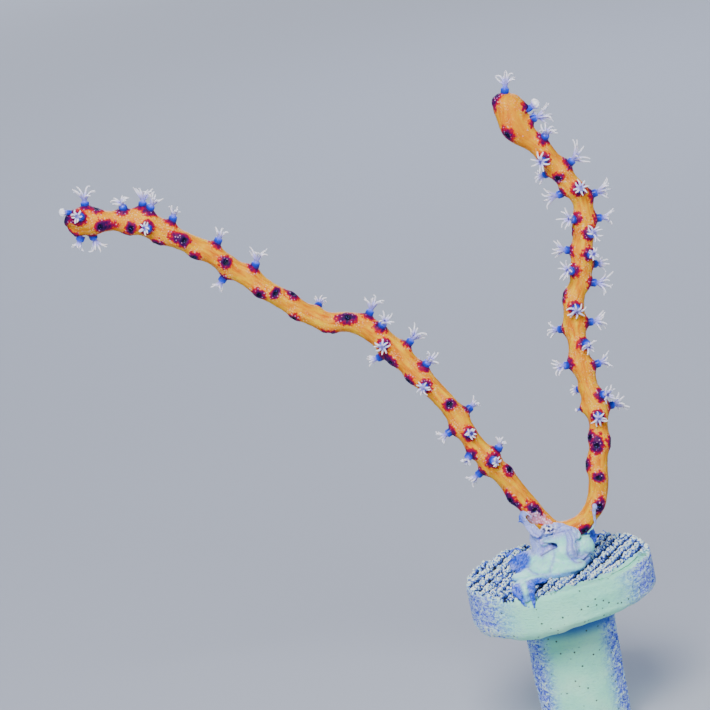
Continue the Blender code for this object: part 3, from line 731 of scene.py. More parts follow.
def polyp_tree():
    tree = bpy.data.node_groups.new("polyps", "GeometryNodeTree")
    face = tree.interface
    face.new_socket("Seats", in_out="INPUT", socket_type="NodeSocketGeometry")
    for name, kind, value in (("Tentacles", "Int", 8), ("Thickness", "Float", 0.13 * MM),
                              ("Stalk Radius", "Float", 0.43 * MM), ("Seed", "Int", 4)):
        face.new_socket(name, in_out="INPUT", socket_type="NodeSocket" + kind).default_value = value
    face.new_socket("Material", in_out="INPUT", socket_type="NodeSocketMaterial")
    face.new_socket("Polyps", in_out="OUTPUT", socket_type="NodeSocketGeometry")
    given = add(tree, "NodeGroupInput").outputs
    attribute = {}
    for name, kind in (("seat", "FLOAT_VECTOR"), ("axis", "FLOAT_VECTOR"),
                       ("across", "FLOAT_VECTOR"), ("spread", "FLOAT"), ("lift", "FLOAT"),
                       ("stalk", "FLOAT"), ("twist", "FLOAT"), ("angle", "FLOAT"),
                       ("long", "FLOAT"), ("sway", "FLOAT"), ("bow", "FLOAT"),
                       ("steep", "FLOAT")):
        node = add(tree, "GeometryNodeInputNamedAttribute", {"Name": name}, data_type=kind)
        attribute[name] = node.outputs["Attribute"]

    def math_of(operation, *values):
        node = add(tree, "ShaderNodeMath", dict(enumerate(values)), operation=operation)
        return node.outputs[0]

    def vector_of(operation, *values, scale=None):
        inputs = dict(enumerate(values))
        if scale is not None:
            inputs["Scale"] = scale
        return add(tree, "ShaderNodeVectorMath", inputs, operation=operation).outputs[0]

    copies = add(tree, "GeometryNodeDuplicateElements", {
        "Geometry": given["Seats"], "Amount": given["Tentacles"]}, domain="POINT")
    index = add(tree, "GeometryNodeInputIndex").outputs[0]
    step = math_of("DIVIDE", math.tau, given["Tentacles"])
    geometry = copies.outputs["Geometry"]
    angle = math_of("MULTIPLY_ADD", copies.outputs["Duplicate Index"], step, attribute["twist"])
    for name, low, high, add_to in (("angle", -0.17, 0.17, angle), ("long", 0.86, 1.1, None),
                                    ("sway", -0.4, 0.4, None), ("bow", -0.2, 0.25, None),
                                    ("steep", 0.5, 1.35, None)):
        seed = math_of("ADD", given["Seed"], float(len(name) * 7))
        chance = add(tree, "FunctionNodeRandomValue", {"Min": low, "Max": high, "ID": index,
                                                       "Seed": seed}, data_type="FLOAT")
        value = next(out for out in chance.outputs if out.enabled)
        if add_to is not None:
            value = math_of("ADD", value, add_to)
        geometry = add(tree, "GeometryNodeStoreNamedAttribute", {
            "Geometry": geometry, "Name": name, "Value": value},
            data_type="FLOAT", domain="POINT").outputs["Geometry"]

    def lines_on(points, count):
        line = add(tree, "GeometryNodeCurvePrimitiveLine", {"End": (0, 0, MM)}).outputs["Curve"]
        line = add(tree, "GeometryNodeResampleCurve", {"Curve": line, "Count": count})
        laid = add(tree, "GeometryNodeInstanceOnPoints", {"Points": points,
                                                          "Instance": line.outputs["Curve"]})
        return add(tree, "GeometryNodeRealizeInstances",
                   {"Geometry": laid.outputs["Instances"]}).outputs["Geometry"]

    t = add(tree, "GeometryNodeSplineParameter").outputs["Factor"]
    half = math_of("MULTIPLY", math_of("MULTIPLY", attribute["spread"], 0.5), attribute["long"])
    rim = math_of("MULTIPLY", given["Stalk Radius"], 0.28)
    reach = math_of("MULTIPLY_ADD", math_of("SUBTRACT", half, rim), math_of("POWER", t, 1.1), rim)
    bulge = math_of("MULTIPLY", math_of("SINE", math_of("MULTIPLY", t, math.pi)),
                    math_of("MULTIPLY", attribute["bow"], attribute["spread"]))
    climb = math_of("MULTIPLY", math_of("SUBTRACT", 1.6, math_of("MULTIPLY", t, 0.6)), t)
    height = math_of("MULTIPLY_ADD", attribute["lift"],
                     math_of("MULTIPLY", climb, attribute["steep"]),
                     math_of("SUBTRACT", attribute["stalk"], CROWN_DROP))
    height = math_of("ADD", height, math_of("MULTIPLY", bulge, 0.5))
    bend = math_of("MULTIPLY", math_of("MULTIPLY", t, t), attribute["sway"])
    radial = add(tree, "ShaderNodeVectorRotate", {
        "Vector": attribute["across"], "Axis": attribute["axis"],
        "Angle": math_of("ADD", attribute["angle"], bend)}).outputs["Vector"]
    place = vector_of("ADD", attribute["seat"], vector_of("SCALE", attribute["axis"], scale=height))
    place = vector_of("ADD", place, vector_of("SCALE", radial, scale=reach))
    tentacles = add(tree, "GeometryNodeSetPosition", {
        "Geometry": lines_on(geometry, TENTACLE_POINTS), "Position": place}).outputs["Geometry"]
    # Little side lobes swell a tentacle in turn, and it thins towards its tip.
    lobes = math_of("COSINE", math_of("MULTIPLY", t, (TENTACLE_POINTS - 1) * math.pi))
    taper = math_of("SUBTRACT", 1.05, math_of("MULTIPLY", math_of("POWER", t, 1.3), 0.62))
    girth = math_of("MULTIPLY", taper, math_of("MULTIPLY_ADD", lobes, 0.07, 1.0))

    def skinned(curves, scale, radius, sides, low, high):
        level = math_of("MULTIPLY_ADD", t, high - low, low)
        curves = add(tree, "GeometryNodeStoreNamedAttribute", {
            "Geometry": curves, "Name": "level", "Value": level},
            data_type="FLOAT", domain="POINT").outputs["Geometry"]
        profile = add(tree, "GeometryNodeCurvePrimitiveCircle", {"Resolution": sides,
                                                                 "Radius": radius})
        return add(tree, "GeometryNodeCurveToMesh", {
            "Curve": curves, "Profile Curve": profile.outputs["Curve"],
            "Scale": scale, "Fill Caps": True}).outputs["Mesh"]

    tentacles = skinned(tentacles, girth, given["Thickness"], 6, 0.5, 1.0)
    climb = math_of("SUBTRACT", math_of("MULTIPLY", math_of(
        "ADD", attribute["stalk"], STALK_ROOT + 0.1 * MM), t), STALK_ROOT)
    stalks = add(tree, "GeometryNodeSetPosition", {
        "Geometry": lines_on(given["Seats"], STALK_POINTS),
        "Position": vector_of("ADD", attribute["seat"],
                              vector_of("SCALE", attribute["axis"], scale=climb)),
    }).outputs["Geometry"]
    # A squat clear collar stands around a slender column, which flares under the crown.
    collar = add(tree, "ShaderNodeMapRange", {"Value": t, "From Min": 0.66, "From Max": 0.5},
                 interpolation_type="SMOOTHSTEP").outputs[0]
    flare = add(tree, "ShaderNodeMapRange", {"Value": t, "From Min": 0.72, "From Max": 0.9,
                                             "To Max": 0.06}).outputs[0]
    width = math_of("MULTIPLY_ADD", collar, 1 - COLUMN_SHARE, COLUMN_SHARE)
    width = math_of("ADD", width, flare)
    mouth = math_of("MULTIPLY", math_of("GREATER_THAN", t, 0.95), 0.4)
    stalks = skinned(stalks, math_of("SUBTRACT", width, mouth), given["Stalk Radius"], 12, 0.0, 0.45)
    both = add(tree, "GeometryNodeJoinGeometry")
    tree.links.new(tentacles, both.inputs[0])
    tree.links.new(stalks, both.inputs[0])
    smooth = add(tree, "GeometryNodeSetShadeSmooth", {"Geometry": both.outputs[0]}).outputs[0]
    real = add(tree, "GeometryNodeRealizeInstances", {"Geometry": smooth}).outputs["Geometry"]
    done = add(tree, "GeometryNodeSetMaterial", {"Geometry": real,
                                                 "Material": given["Material"]})
    add(tree, "NodeGroupOutput", {"Polyps": done.outputs["Geometry"]})
    return tree


def grown(obj, tree, **inputs):
    """Runs a node tree on an object with these inputs and keeps the plain mesh."""
    modifier = obj.modifiers.new("grow", "NODES")
    modifier.node_group = tree
    for item in tree.interface.items_tree:
        if item.item_type == "SOCKET" and item.in_out == "INPUT" and item.name in inputs:
            modifier[item.identifier] = inputs[item.name]
    return applied(obj)


# %% Polyp material
def polyp_material():
    """Soft clear tissue: deep blue where the stalk is thin, milky white at the tips."""
    made, tree, shader = new_material("polyp_tissue")
    level = add(tree, "ShaderNodeAttribute", attribute_name="level").outputs["Fac"]
    here = add(tree, "ShaderNodeTexCoord").outputs["Object"]
    cloud = add(tree, "ShaderNodeTexNoise", {"Vector": here, "Scale": per_mm(0.5),
                                             "Detail": 2.0}).outputs["Fac"]
    cloud = add(tree, "ShaderNodeMath", {0: cloud, 1: 0.5}, operation="SUBTRACT").outputs[0]
    cloudy = add(tree, "ShaderNodeMath", {0: cloud, 1: 0.08, 2: level},
                 operation="MULTIPLY_ADD").outputs[0]
    colour = add(tree, "ShaderNodeValToRGB", {"Fac": cloudy}, stops=(
        (0.0, "#3A0A6A"), (0.1, "#0E24A8"), (0.22, "#1A44E0"), (0.29, "#7478EE"),
        (0.42, "#A09AF4"), (0.46, "#2C1F80"), (0.5, "#9490F4"), (0.64, "#B9B6FC"),
        (0.82, "#F8F6FF"))).outputs["Color"]
    tree.links.new(colour, shader.inputs["Base Color"])
    shader.inputs["Roughness"].default_value = 0.35
    shader.inputs["IOR"].default_value = 1.37
    shader.inputs["Subsurface Weight"].default_value = 0.25
    shader.inputs["Subsurface Radius"].default_value = (0.7, 0.8, 1.0)
    shader.inputs["Subsurface Scale"].default_value = 0.3 * MM
    return made


# %% Growing the polyps
STALK = 0.64 * MM
TIP_CROWN = {"spread": 2.3, "stalk": 1.0, "lift": 1.05, "shift": 0.65}
CUP_LIFT = 0.44
STAR_LIFT = 0.1


def polyp_rows(arm):
    """Seat, axis, spread, lift and stalk of each polyp on an arm."""
    rows = []
    for s, degrees, spread, lean in OPEN_POLYPS[arm.name]:
        facing = max(0.0, math.cos(math.radians(degrees)))
        lift = CUP_LIFT + (STAR_LIFT - CUP_LIFT) * facing**2
        rows.append((s, degrees, spread, lean, spread * lift, STALK * (1 - 0.35 * facing)))
    made = []
    for s, degrees, spread, lean, lift, stalk in rows:
        at, around = np.array([s * MM]), np.array([math.radians(degrees)])
        core = arm.sample(arm.core, at)
        rise, _, _ = calyx_relief(arm.name, at, around, core)
        out = arm.outward(at, around)[0]
        seat = arm.sample(arm.line, at)[0] + out * (core + rise)[0]
        tilt = math.radians(lean)
        axis = out * math.cos(tilt) + arm.sample(arm.tangent, at)[0] * math.sin(tilt)
        made.append((seat, axis, spread * MM, lift * MM, stalk))
    if arm.name == "right":
        left = arm.outward(np.array([arm.length]), np.array([math.radians(-90)]))[0]
        seat = arm.line[-1] + left * TIP_CROWN["shift"] * MM
        made.append((seat, arm.tangent[-1], TIP_CROWN["spread"] * MM, TIP_CROWN["lift"] * MM,
                     TIP_CROWN["stalk"] * MM))
    return made


def make_polyps(arm, tree, tissue):
    rows = polyp_rows(arm)
    obj = mesh_object(arm.name + "_polyps", [row[0] for row in rows], [])
    mesh = obj.data
    axes = np.array([row[1] for row in rows])
    axes /= np.linalg.norm(axes, axis=1)[:, None]
    across = np.array([tuple(Vector(axis).orthogonal().normalized()) for axis in axes])
    set_attribute(mesh, "seat", [row[0] for row in rows])
    set_attribute(mesh, "axis", axes)
    set_attribute(mesh, "across", across)
    set_attribute(mesh, "spread", [row[2] for row in rows])
    set_attribute(mesh, "lift", [row[3] for row in rows])
    set_attribute(mesh, "stalk", [row[4] for row in rows])
    set_attribute(mesh, "twist", [0.7 * i for i in range(len(rows))])
    grown(obj, tree, Tentacles=8, Material=tissue, Seed=5 if arm.name == "left" else 9)
    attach(obj, "root")
    return obj


# A bud is a polyp that is half drawn in: a blue stalk under a white ball of folded arms.
BUD_PROFILE = (
    # height above the seat and radius, both in the bud's radius, and the tissue's level
    (-0.9, 0.3, 0.15), (-0.8, 0.62, 0.18), (0.0, 0.66, 0.2), (0.5, 0.6, 0.24), (0.8, 0.66, 0.4),
    (1.05, 0.86, 0.6), (1.4, 1.0, 0.78), (1.8, 0.96, 0.9), (2.1, 0.72, 1.0), (2.3, 0.4, 1.0),
    (2.36, 0.12, 0.8),
)
BUD_SIDES = 32


def make_buds(tissue):
    turns = np.arange(BUD_SIDES) * math.tau / BUD_SIDES
    points, faces, levels = [], [], []
    for arm in ARMS:
        for s, degrees, radius, lean in BUDS[arm.name]:
            at, around = np.array([s * MM]), np.array([math.radians(degrees)])
            core = arm.sample(arm.core, at)
            rise = calyx_relief(arm.name, at, around, core)[0]
            out = arm.outward(at, around)[0]
            seat = arm.sample(arm.line, at)[0] + out * (core + rise)[0]
            along = arm.sample(arm.tangent, at)[0]
            axis = out * math.cos(math.radians(lean)) + along * math.sin(math.radians(lean))
            axis /= np.linalg.norm(axis)
            side = np.array(Vector(axis).orthogonal().normalized())
            over = np.cross(axis, side)
            rings = []
            for height, wide, level in BUD_PROFILE:
                folded = wide * (1 + 0.14 * (level > 0.5) * np.cos(8 * turns + height))
                spoke = np.cos(turns)[:, None] * side + np.sin(turns)[:, None] * over
                rings.append(seat + (axis * height + spoke * folded[:, None]) * radius * MM)
                levels += [level] * BUD_SIDES
            bud_points, bud_faces = ring_skin(rings)
            faces += [[len(points) + i for i in face] for face in bud_faces]
            points += list(bud_points)
    obj = mesh_object("closed_polyps", points, faces)
    set_attribute(obj.data, "level", levels)
    obj.data.shade_smooth()
    obj.data.materials.append(tissue)
    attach(obj, "root")
    return obj


polyps_tree = polyp_tree()
tissue = polyp_material()
buds = make_buds(tissue)
print(buds.name, "has", len(buds.data.polygons), "faces")
for arm in ARMS:
    made = make_polyps(arm, polyps_tree, tissue)
    print(made.name, "has", len(made.data.polygons), "faces")

# %% [markdown]
# The plug is fired clay, pressed in a mould: a thick disc with a ridged, crumbly top on a
# tapered stem. It is round, so its skin is a stack of rings, close together where there is
# detail. The top is a landscape: each point's height comes from the ridges, from the crumbs
# and cracks of the torn clay, and from the teeth that bite into the rim. The wall below
# follows the rim up and down, which a remeshed disc could only do with far more faces.

# %% The plug's shape
STEM_LENGTH = 14.0 * MM
STEM_FOOT_RADIUS = 4.45 * MM
STEM_NECK_RADIUS = 4.66 * MM
FOOT_CHAMFER = 0.4 * MM
HEAD_LOWER_ROUND = 1.3 * MM
RIM_INSET = 0.2 * MM
RIDGE_PITCH = 1.35 * MM
RIDGE_HEADING = math.radians(60)
RIDGE_DEPTH = 0.62
CRUMB_SIZE = 0.55 * MM
GRIT_SIZE = 0.24 * MM
RIM_TEETH = 66
RUBBED_HEADING = math.radians(-58)
PLUG_SIDES = 512
UNDER_GLUE = 2.4 * MM


def relief_of(mesh, rounds):
    """How far each point stands proud of the skin around it, in mm."""
    points, edges = points_of(mesh), edges_of(mesh)
    softened = points
    for _ in range(rounds):
        softened = averaged(softened, edges)
    return ((points - softened) * normals_of(mesh)).sum(axis=1) / MM


def crumbs_at(points, size):
    """About 0.5 in the middle of a crumb and below 0 in the cracks between crumbs."""
    return np.array([0.5 - noise.voronoi(Vector(p) / size)[0][0] for p in points])


def rubbed_at(radius, heading):
    """Where the crust is rubbed off, from 0 to 1: a band inside the rim at the front."""
    reach = eased(np.cos(heading - RUBBED_HEADING), 0.5, 0.9)
    ragged = np.sin(heading * 23) + np.sin(heading * 41 + 1)
    inner = HEAD_RADIUS - (0.9 + 1.4 * reach + 0.16 * ragged) * MM
    return reach * eased(radius, inner, inner + 0.5 * MM)


def top_height(x, y):
    """The crumbly top: its height in mm, and how high its crumbs stand from 0 to 1."""
    points = np.column_stack([x, y, np.zeros(len(x))])
    radius, heading = np.hypot(x, y), np.arctan2(y, x)
    across = y * math.cos(RIDGE_HEADING) - x * math.sin(RIDGE_HEADING)
    across += noise_at(points, 3.2, 2, 6) * 0.22 * MM
    wave = 0.5 + 0.5 * np.cos(across / RIDGE_PITCH * math.tau)
    edge = eased(radius, HEAD_RADIUS - 1.3 * MM, HEAD_RADIUS - 0.4 * MM)
    valley = 1 - eased(wave, 0.12, 0.6)
    height = -RIDGE_DEPTH * valley * (1 - 0.8 * edge)
    height += 0.42 * (crumbs_at(points, CRUMB_SIZE) - 0.3) + 0.24 * (crumbs_at(points, GRIT_SIZE) - 0.3)
    crack = noise_at(points, 0.8, 2, 1)
    height -= 0.3 * np.exp(-(crack / 0.09) ** 2)
    height += 0.12 * noise_at(points, 2.6, 2, 2)
    jitter = noise_at(points / np.maximum(radius, MM)[:, None] * HEAD_RADIUS, 1.7, 2, 9)
    tooth = np.cos(heading * RIM_TEETH + jitter * 5)
    bite = eased(tooth, 0.5, 0.98) * (0.1 + 0.32 * np.clip(jitter + 0.35, 0, 1))
    height -= bite * eased(radius, HEAD_RADIUS - 0.9 * MM, HEAD_RADIUS - 0.4 * MM)
    crest = np.clip(1 + height / 0.85, 0, 1)
    height *= 1 - 0.85 * rubbed_at(radius, heading)
    worn = eased(np.cos(heading + math.radians(40)), 0.72, 1.0)
    height -= edge * 0.25 * worn
    return np.clip(height + 0.08 * edge, -1.3, 0), crest


def plug_rings():
    """Rings of the plug's skin from the middle of its top to the middle of its foot."""
    turns = np.arange(PLUG_SIDES) * math.tau / PLUG_SIDES
    round_about = np.column_stack([np.cos(turns), np.sin(turns)])
    rings, crests = [], []
    radii = list(np.linspace(0.1 * MM, UNDER_GLUE, 9))
    radii += list(np.linspace(UNDER_GLUE, HEAD_RADIUS - RIM_INSET, 72)[1:])
    for radius in radii:
        flat = round_about * radius
        height, crest = top_height(flat[:, 0], flat[:, 1])
        rings.append(np.column_stack([flat, HEAD_TOP + height * MM]))
        crests.append(crest)
    rim = rings[-1][:, 2]
    low = STEM_LENGTH + HEAD_LOWER_ROUND
    for t in (0.03, 0.07, 0.11, 0.15, 0.19, *np.linspace(0.23, 1, 22)):
        z = rim * (1 - t) + low * t
        radius = HEAD_RADIUS - RIM_INSET * np.exp(-(rim - z) / (0.25 * MM))
        rings.append(np.column_stack([round_about * radius[:, None], z]))
    profile = []
    for step in range(1, 10):
        turn = math.radians(10 * step)
        profile.append((HEAD_RADIUS - HEAD_LOWER_ROUND * (1 - math.cos(turn)),
                        low - HEAD_LOWER_ROUND * math.sin(turn)))
    for radius in np.linspace(HEAD_RADIUS - HEAD_LOWER_ROUND, STEM_NECK_RADIUS, 8)[1:]:
        profile.append((radius, STEM_LENGTH))
    for z in np.linspace(STEM_LENGTH, FOOT_CHAMFER, 46)[1:]:
        share = z / STEM_LENGTH
        profile.append((STEM_FOOT_RADIUS + (STEM_NECK_RADIUS - STEM_FOOT_RADIUS) * share, z))
    profile += [(STEM_FOOT_RADIUS - FOOT_CHAMFER, 0), (0.5 * MM, 0)]
    for radius, z in profile:
        rings.append(np.column_stack([round_about * radius, np.full(PLUG_SIDES, z)]))
    crests += [crests[-1]] * (len(rings) - len(crests))
    return rings, crests, len(radii)


def make_plug(clay):
    rings, crests, top_rings = plug_rings()
    points, faces = ring_skin(rings[::-1])
    ring = np.repeat(np.arange(len(rings))[::-1], PLUG_SIDES)
    radius = np.maximum(np.hypot(points[:, 0], points[:, 1]), MM)
    heading = np.arctan2(points[:, 1], points[:, 0])
    outward = np.column_stack([points[:, :2] / radius[:, None], np.zeros(len(points))])
    wall = (ring >= top_rings) & (points[:, 2] > STEM_LENGTH + 0.1 * MM)
    stem = (radius < STEM_NECK_RADIUS + 0.1 * MM) & (points[:, 2] > 0) & (points[:, 2] < STEM_LENGTH)
    # The sides that turn away to left and right: their wall is made rougher, and in the clay's colour
    # they get blue painted shade.
    limb = eased(np.abs(points[:, 0]) / radius, 0.44, 0.94) * (wall | stem)
    # The wall is sandy, streaked where it turns away, and a little out of true.
    laid = points * (1, 1, 2.2)
    move = noise_at(laid, 0.5, 3, 1) * (0.02 + 0.13 * limb) + noise_at(points, 2.4, 2, 2) * 0.07
    move *= wall | stem
    worn = eased(np.cos(heading + math.radians(48)), 0.75, 1.0)
    upper = eased(points[:, 2], HEAD_TOP - 1.6 * MM, HEAD_TOP - 0.4 * MM)
    move -= worn * upper * 0.35 * (radius > HEAD_RADIUS - MM)
    points = points + outward * (move * MM)[:, None]
    low = eased(-points[:, 2], -(STEM_LENGTH + 2.2 * MM), -STEM_LENGTH)
    low *= eased(radius, HEAD_RADIUS - 3.0 * MM, HEAD_RADIUS - 0.6 * MM)
    points[:, 2] -= low * eased(np.cos(heading - math.radians(-140)), 0.4, 1.0) * 0.5 * MM
    points[:, 2] += low * noise_at(outward * HEAD_RADIUS, 3.4, 2, 8) * 0.3 * MM
    points[:, 2] += low * eased(np.cos(heading - math.radians(-65)), 0.35, 0.95) * 0.7 * MM
    over = np.maximum(np.hypot(points[:, 0], points[:, 1]) / HEAD_RADIUS, 1)
    points[:, :2] /= over[:, None]
    obj = mesh_object("plug_body", points, faces)
    mesh = obj.data
    # Painted shade: a band at the top of the stem, where the head's shadow falls.
    neck = eased(points[:, 2], STEM_LENGTH - 2.5 * MM, STEM_LENGTH - 1.0 * MM) * stem
    set_attribute(mesh, "neck", neck)
    set_attribute(mesh, "relief", relief_of(mesh, 5))
    set_attribute(mesh, "top", (ring < top_rings) * (1 - 0.92 * rubbed_at(radius, heading)))
    set_attribute(mesh, "limb", limb)
    set_attribute(mesh, "crest", np.concatenate(crests[::-1]))
    mesh.shade_smooth()
    mesh.materials.append(clay)
    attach(obj, "root")
    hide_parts("plug")
    return obj


# %% Fired clay
def clay_material():
    """Pressed and fired clay: matt, sandy and pitted, pale mint, with blue painted shade in its hollows
    and pits, under its head and on its sides, and painted highlights on its crests.
    """
    made, tree, shader = new_material("pressed_fired_clay")
    here = add(tree, "ShaderNodeTexCoord").outputs["Object"]
    relief = add(tree, "ShaderNodeAttribute", attribute_name="relief").outputs["Fac"]
    top = add(tree, "ShaderNodeAttribute", attribute_name="top").outputs["Fac"]
    limb = add(tree, "ShaderNodeAttribute", attribute_name="limb").outputs["Fac"]
    neck = add(tree, "ShaderNodeAttribute", attribute_name="neck").outputs["Fac"]
    cloud = add(tree, "ShaderNodeTexNoise", {"Vector": here, "Scale": per_mm(3.5),
                                             "Detail": 3.0}).outputs["Fac"]
    base = add(tree, "ShaderNodeValToRGB", {"Fac": cloud}, stops=(
        (0.3, "#94F2D2"), (0.55, "#A6FBD9"), (0.75, "#BCFFDD"))).outputs["Color"]
    # Where the side turns away it is sandy and streaked, and blue painted shade lies on it: white and
    # lavender crests half a millimetre long, laid level, with painted highlights where they stand proud
    # and blue painted shade in the hollows.
    laid = add(tree, "ShaderNodeVectorMath", {0: here, 1: (1.0, 1.0, 2.2)},
               operation="MULTIPLY").outputs[0]
    sand = add(tree, "ShaderNodeTexNoise", {"Vector": laid, "Scale": per_mm(0.55), "Detail": 3.0,
                                            "Roughness": 0.7, "Distortion": 1.4}).outputs["Fac"]
    sand_and_relief_shade = add(tree, "ShaderNodeMath", {0: relief, 1: 1.6, 2: sand},
                 operation="MULTIPLY_ADD").outputs[0]
    shaded_grains = add(tree, "ShaderNodeValToRGB", {"Fac": sand_and_relief_shade}, stops=(
        (0.38, "#2A50D0"), (0.46, "#6F80F2"), (0.53, "#A6B4FA"), (0.6, "#BDF2E6"),
        (0.66, "#F6FFF4"))).outputs["Color"]
    broken = add(tree, "ShaderNodeMath", {0: sand, 1: -0.7, 2: 0.35},
                 operation="MULTIPLY_ADD").outputs[0]
    sand_and_limb_shade = add(tree, "ShaderNodeMath", {0: limb, 1: 1.1, 2: broken}, operation="MULTIPLY_ADD",
                use_clamp=True).outputs[0]
    base = add(tree, "ShaderNodeMixRGB", {"Fac": sand_and_limb_shade, "Color1": base,
                                          "Color2": shaded_grains}).outputs["Color"]
    # Painted shade: the top of the stem is darkened to deep blue, as the head's shadow.
    shade = add(tree, "ShaderNodeMath", {0: neck, 1: 0.9}, operation="MULTIPLY").outputs[0]
    base = add(tree, "ShaderNodeMixRGB", {"Fac": shade, "Color1": base,
                                          "Color2": linear("#1450B4")}).outputs["Color"]
    # On the crumbly top the hollows get painted shade, blue to nearly black, and the crests white
    # painted highlights; cracks a third of a millimetre apart are painted dark between the crumbs, as
    # shade.
    bent = add(tree, "ShaderNodeTexNoise", {"Vector": here, "Scale": per_mm(0.6),
                                            "Detail": 2.0}).outputs["Color"]
    bent = add(tree, "ShaderNodeVectorMath", {0: bent, 3: 0.35 * MM}, operation="SCALE").outputs[0]
    bent = add(tree, "ShaderNodeVectorMath", {0: here, 1: bent}, operation="ADD").outputs[0]
    crack = add(tree, "ShaderNodeTexVoronoi", {"Vector": bent, "Scale": per_mm(0.42)},
                feature="DISTANCE_TO_EDGE").outputs["Distance"]
    painted_crack_shade = add(tree, "ShaderNodeMapRange", {"Value": crack, "From Min": 0.16, "From Max": 0.02,
                                             "To Max": -0.32}).outputs[0]
    proud = add(tree, "ShaderNodeMapRange", {"Value": relief, "From Min": -0.12, "From Max": 0.12,
                                             "To Max": 0.6}).outputs[0]
    crest = add(tree, "ShaderNodeAttribute", attribute_name="crest").outputs["Fac"]
    crust_light_and_shade = add(tree, "ShaderNodeMath", {0: crest, 1: 0.5, 2: proud},
                operation="MULTIPLY_ADD").outputs[0]
    crust_light_and_shade = add(tree, "ShaderNodeMath", {0: crust_light_and_shade, 1: painted_crack_shade}, operation="ADD").outputs[0]
    shaded_crumbs = add(tree, "ShaderNodeValToRGB", {"Fac": crust_light_and_shade}, stops=(
        (0.3, "#050F2C"), (0.44, "#1650C4"), (0.58, "#6C80F0"), (0.68, "#A4E8E4"),
        (0.82, "#FAFFF0"))).outputs["Color"]
    base = add(tree, "ShaderNodeMixRGB", {"Fac": top, "Color1": base,
                                          "Color2": shaded_crumbs}).outputs["Color"]
    # Pits where sand has fallen out, a good millimetre apart, darkened with painted shade.
    pit = add(tree, "ShaderNodeTexVoronoi", {"Vector": here, "Scale": per_mm(0.7)})
    deep = add(tree, "ShaderNodeMapRange", {"Value": pit.outputs["Distance"], "From Min": 0.17,
                                            "From Max": 0.09}).outputs[0]
    pick = add(tree, "ShaderNodeSeparateColor", {"Color": pit.outputs["Color"]}).outputs[0]
    chosen = add(tree, "ShaderNodeMath", {0: pick, 1: 0.3}, operation="GREATER_THAN").outputs[0]
    deep = add(tree, "ShaderNodeMath", {0: deep, 1: chosen}, operation="MULTIPLY").outputs[0]
    colour = add(tree, "ShaderNodeMixRGB", {"Fac": deep, "Color1": base,
                                            "Color2": linear("#4A5A4C")}).outputs["Color"]
    tree.links.new(colour, shader.inputs["Base Color"])
    rough = add(tree, "ShaderNodeMath", {0: sand, 1: deep}, operation="SUBTRACT").outputs[0]
    bump = add(tree, "ShaderNodeBump", {"Height": rough, "Strength": 0.7,
                                        "Distance": 0.16 * MM}).outputs["Normal"]
    tree.links.new(bump, shader.inputs["Normal"])
    shader.inputs["Roughness"].default_value = 0.85
    return made


clay = clay_material()
plug_body = make_plug(clay)
print("plug has", len(plug_body.data.polygons), "faces")

# %% [markdown]
# The cutting was pressed into gel glue while it was wet, so the glue is a soft mound with a
# lip, torn sheets, strings and a drip over the rim. It is modelled as a potter would, from
# lumps, rolled strings and cut sheets that are fused into one skin, and then its folds are
# drawn into the side that faces the camera. Places are in mm: right, depth and up from the
# middle of the head's top.

# %% The glue's shape
GLUE_VOXEL = 0.09 * MM
GLUE_SIDES = 48
SHEET_THICKNESS = 0.26
MOUND = (
    # height, middle right and depth, half width, half depth
    (-0.3, -0.5, -0.4, 3.9, 3.9), (0.15, -0.5, -0.4, 3.9, 3.8), (0.45, -0.3, -0.5, 3.4, 3.2),
    (0.9, 0.1, -0.6, 2.9, 2.6), (1.5, 0.3, -0.6, 2.6, 2.25), (2.3, 0.35, -0.4, 2.45, 1.95),
    (3.0, 0.4, -0.2, 2.65, 1.6), (3.6, 0.3, -0.1, 2.5, 1.35), (4.0, 0.3, -0.1, 1.9, 1.0),
)
LUMPS = (
    # middle, half sizes
    ((-0.1, -1.85, 3.0), (1.35, 0.65, 0.42)),
    ((0.9, -2.0, 1.6), (1.5, 1.2, 1.3)),
    ((-1.0, -2.4, 0.6), (1.9, 1.4, 0.8)),
    ((1.0, -3.0, 0.3), (1.8, 1.3, 0.6)),
    ((3.1, -0.8, 1.45), (0.95, 1.0, 1.1)),
    ((-3.7, -2.3, 0.1), (1.2, 1.2, 0.35)),
    ((4.84, -1.38, 5.5), (0.3, 0.3, 0.36)),
    ((-0.3, -1.2, 4.05), (0.85, 0.42, 0.6)),
    ((-3.95, -5.4, 0.0), (0.95, 2.9, 0.34)),
    ((-2.6, -4.2, 0.05), (1.3, 1.3, 0.32)),
)
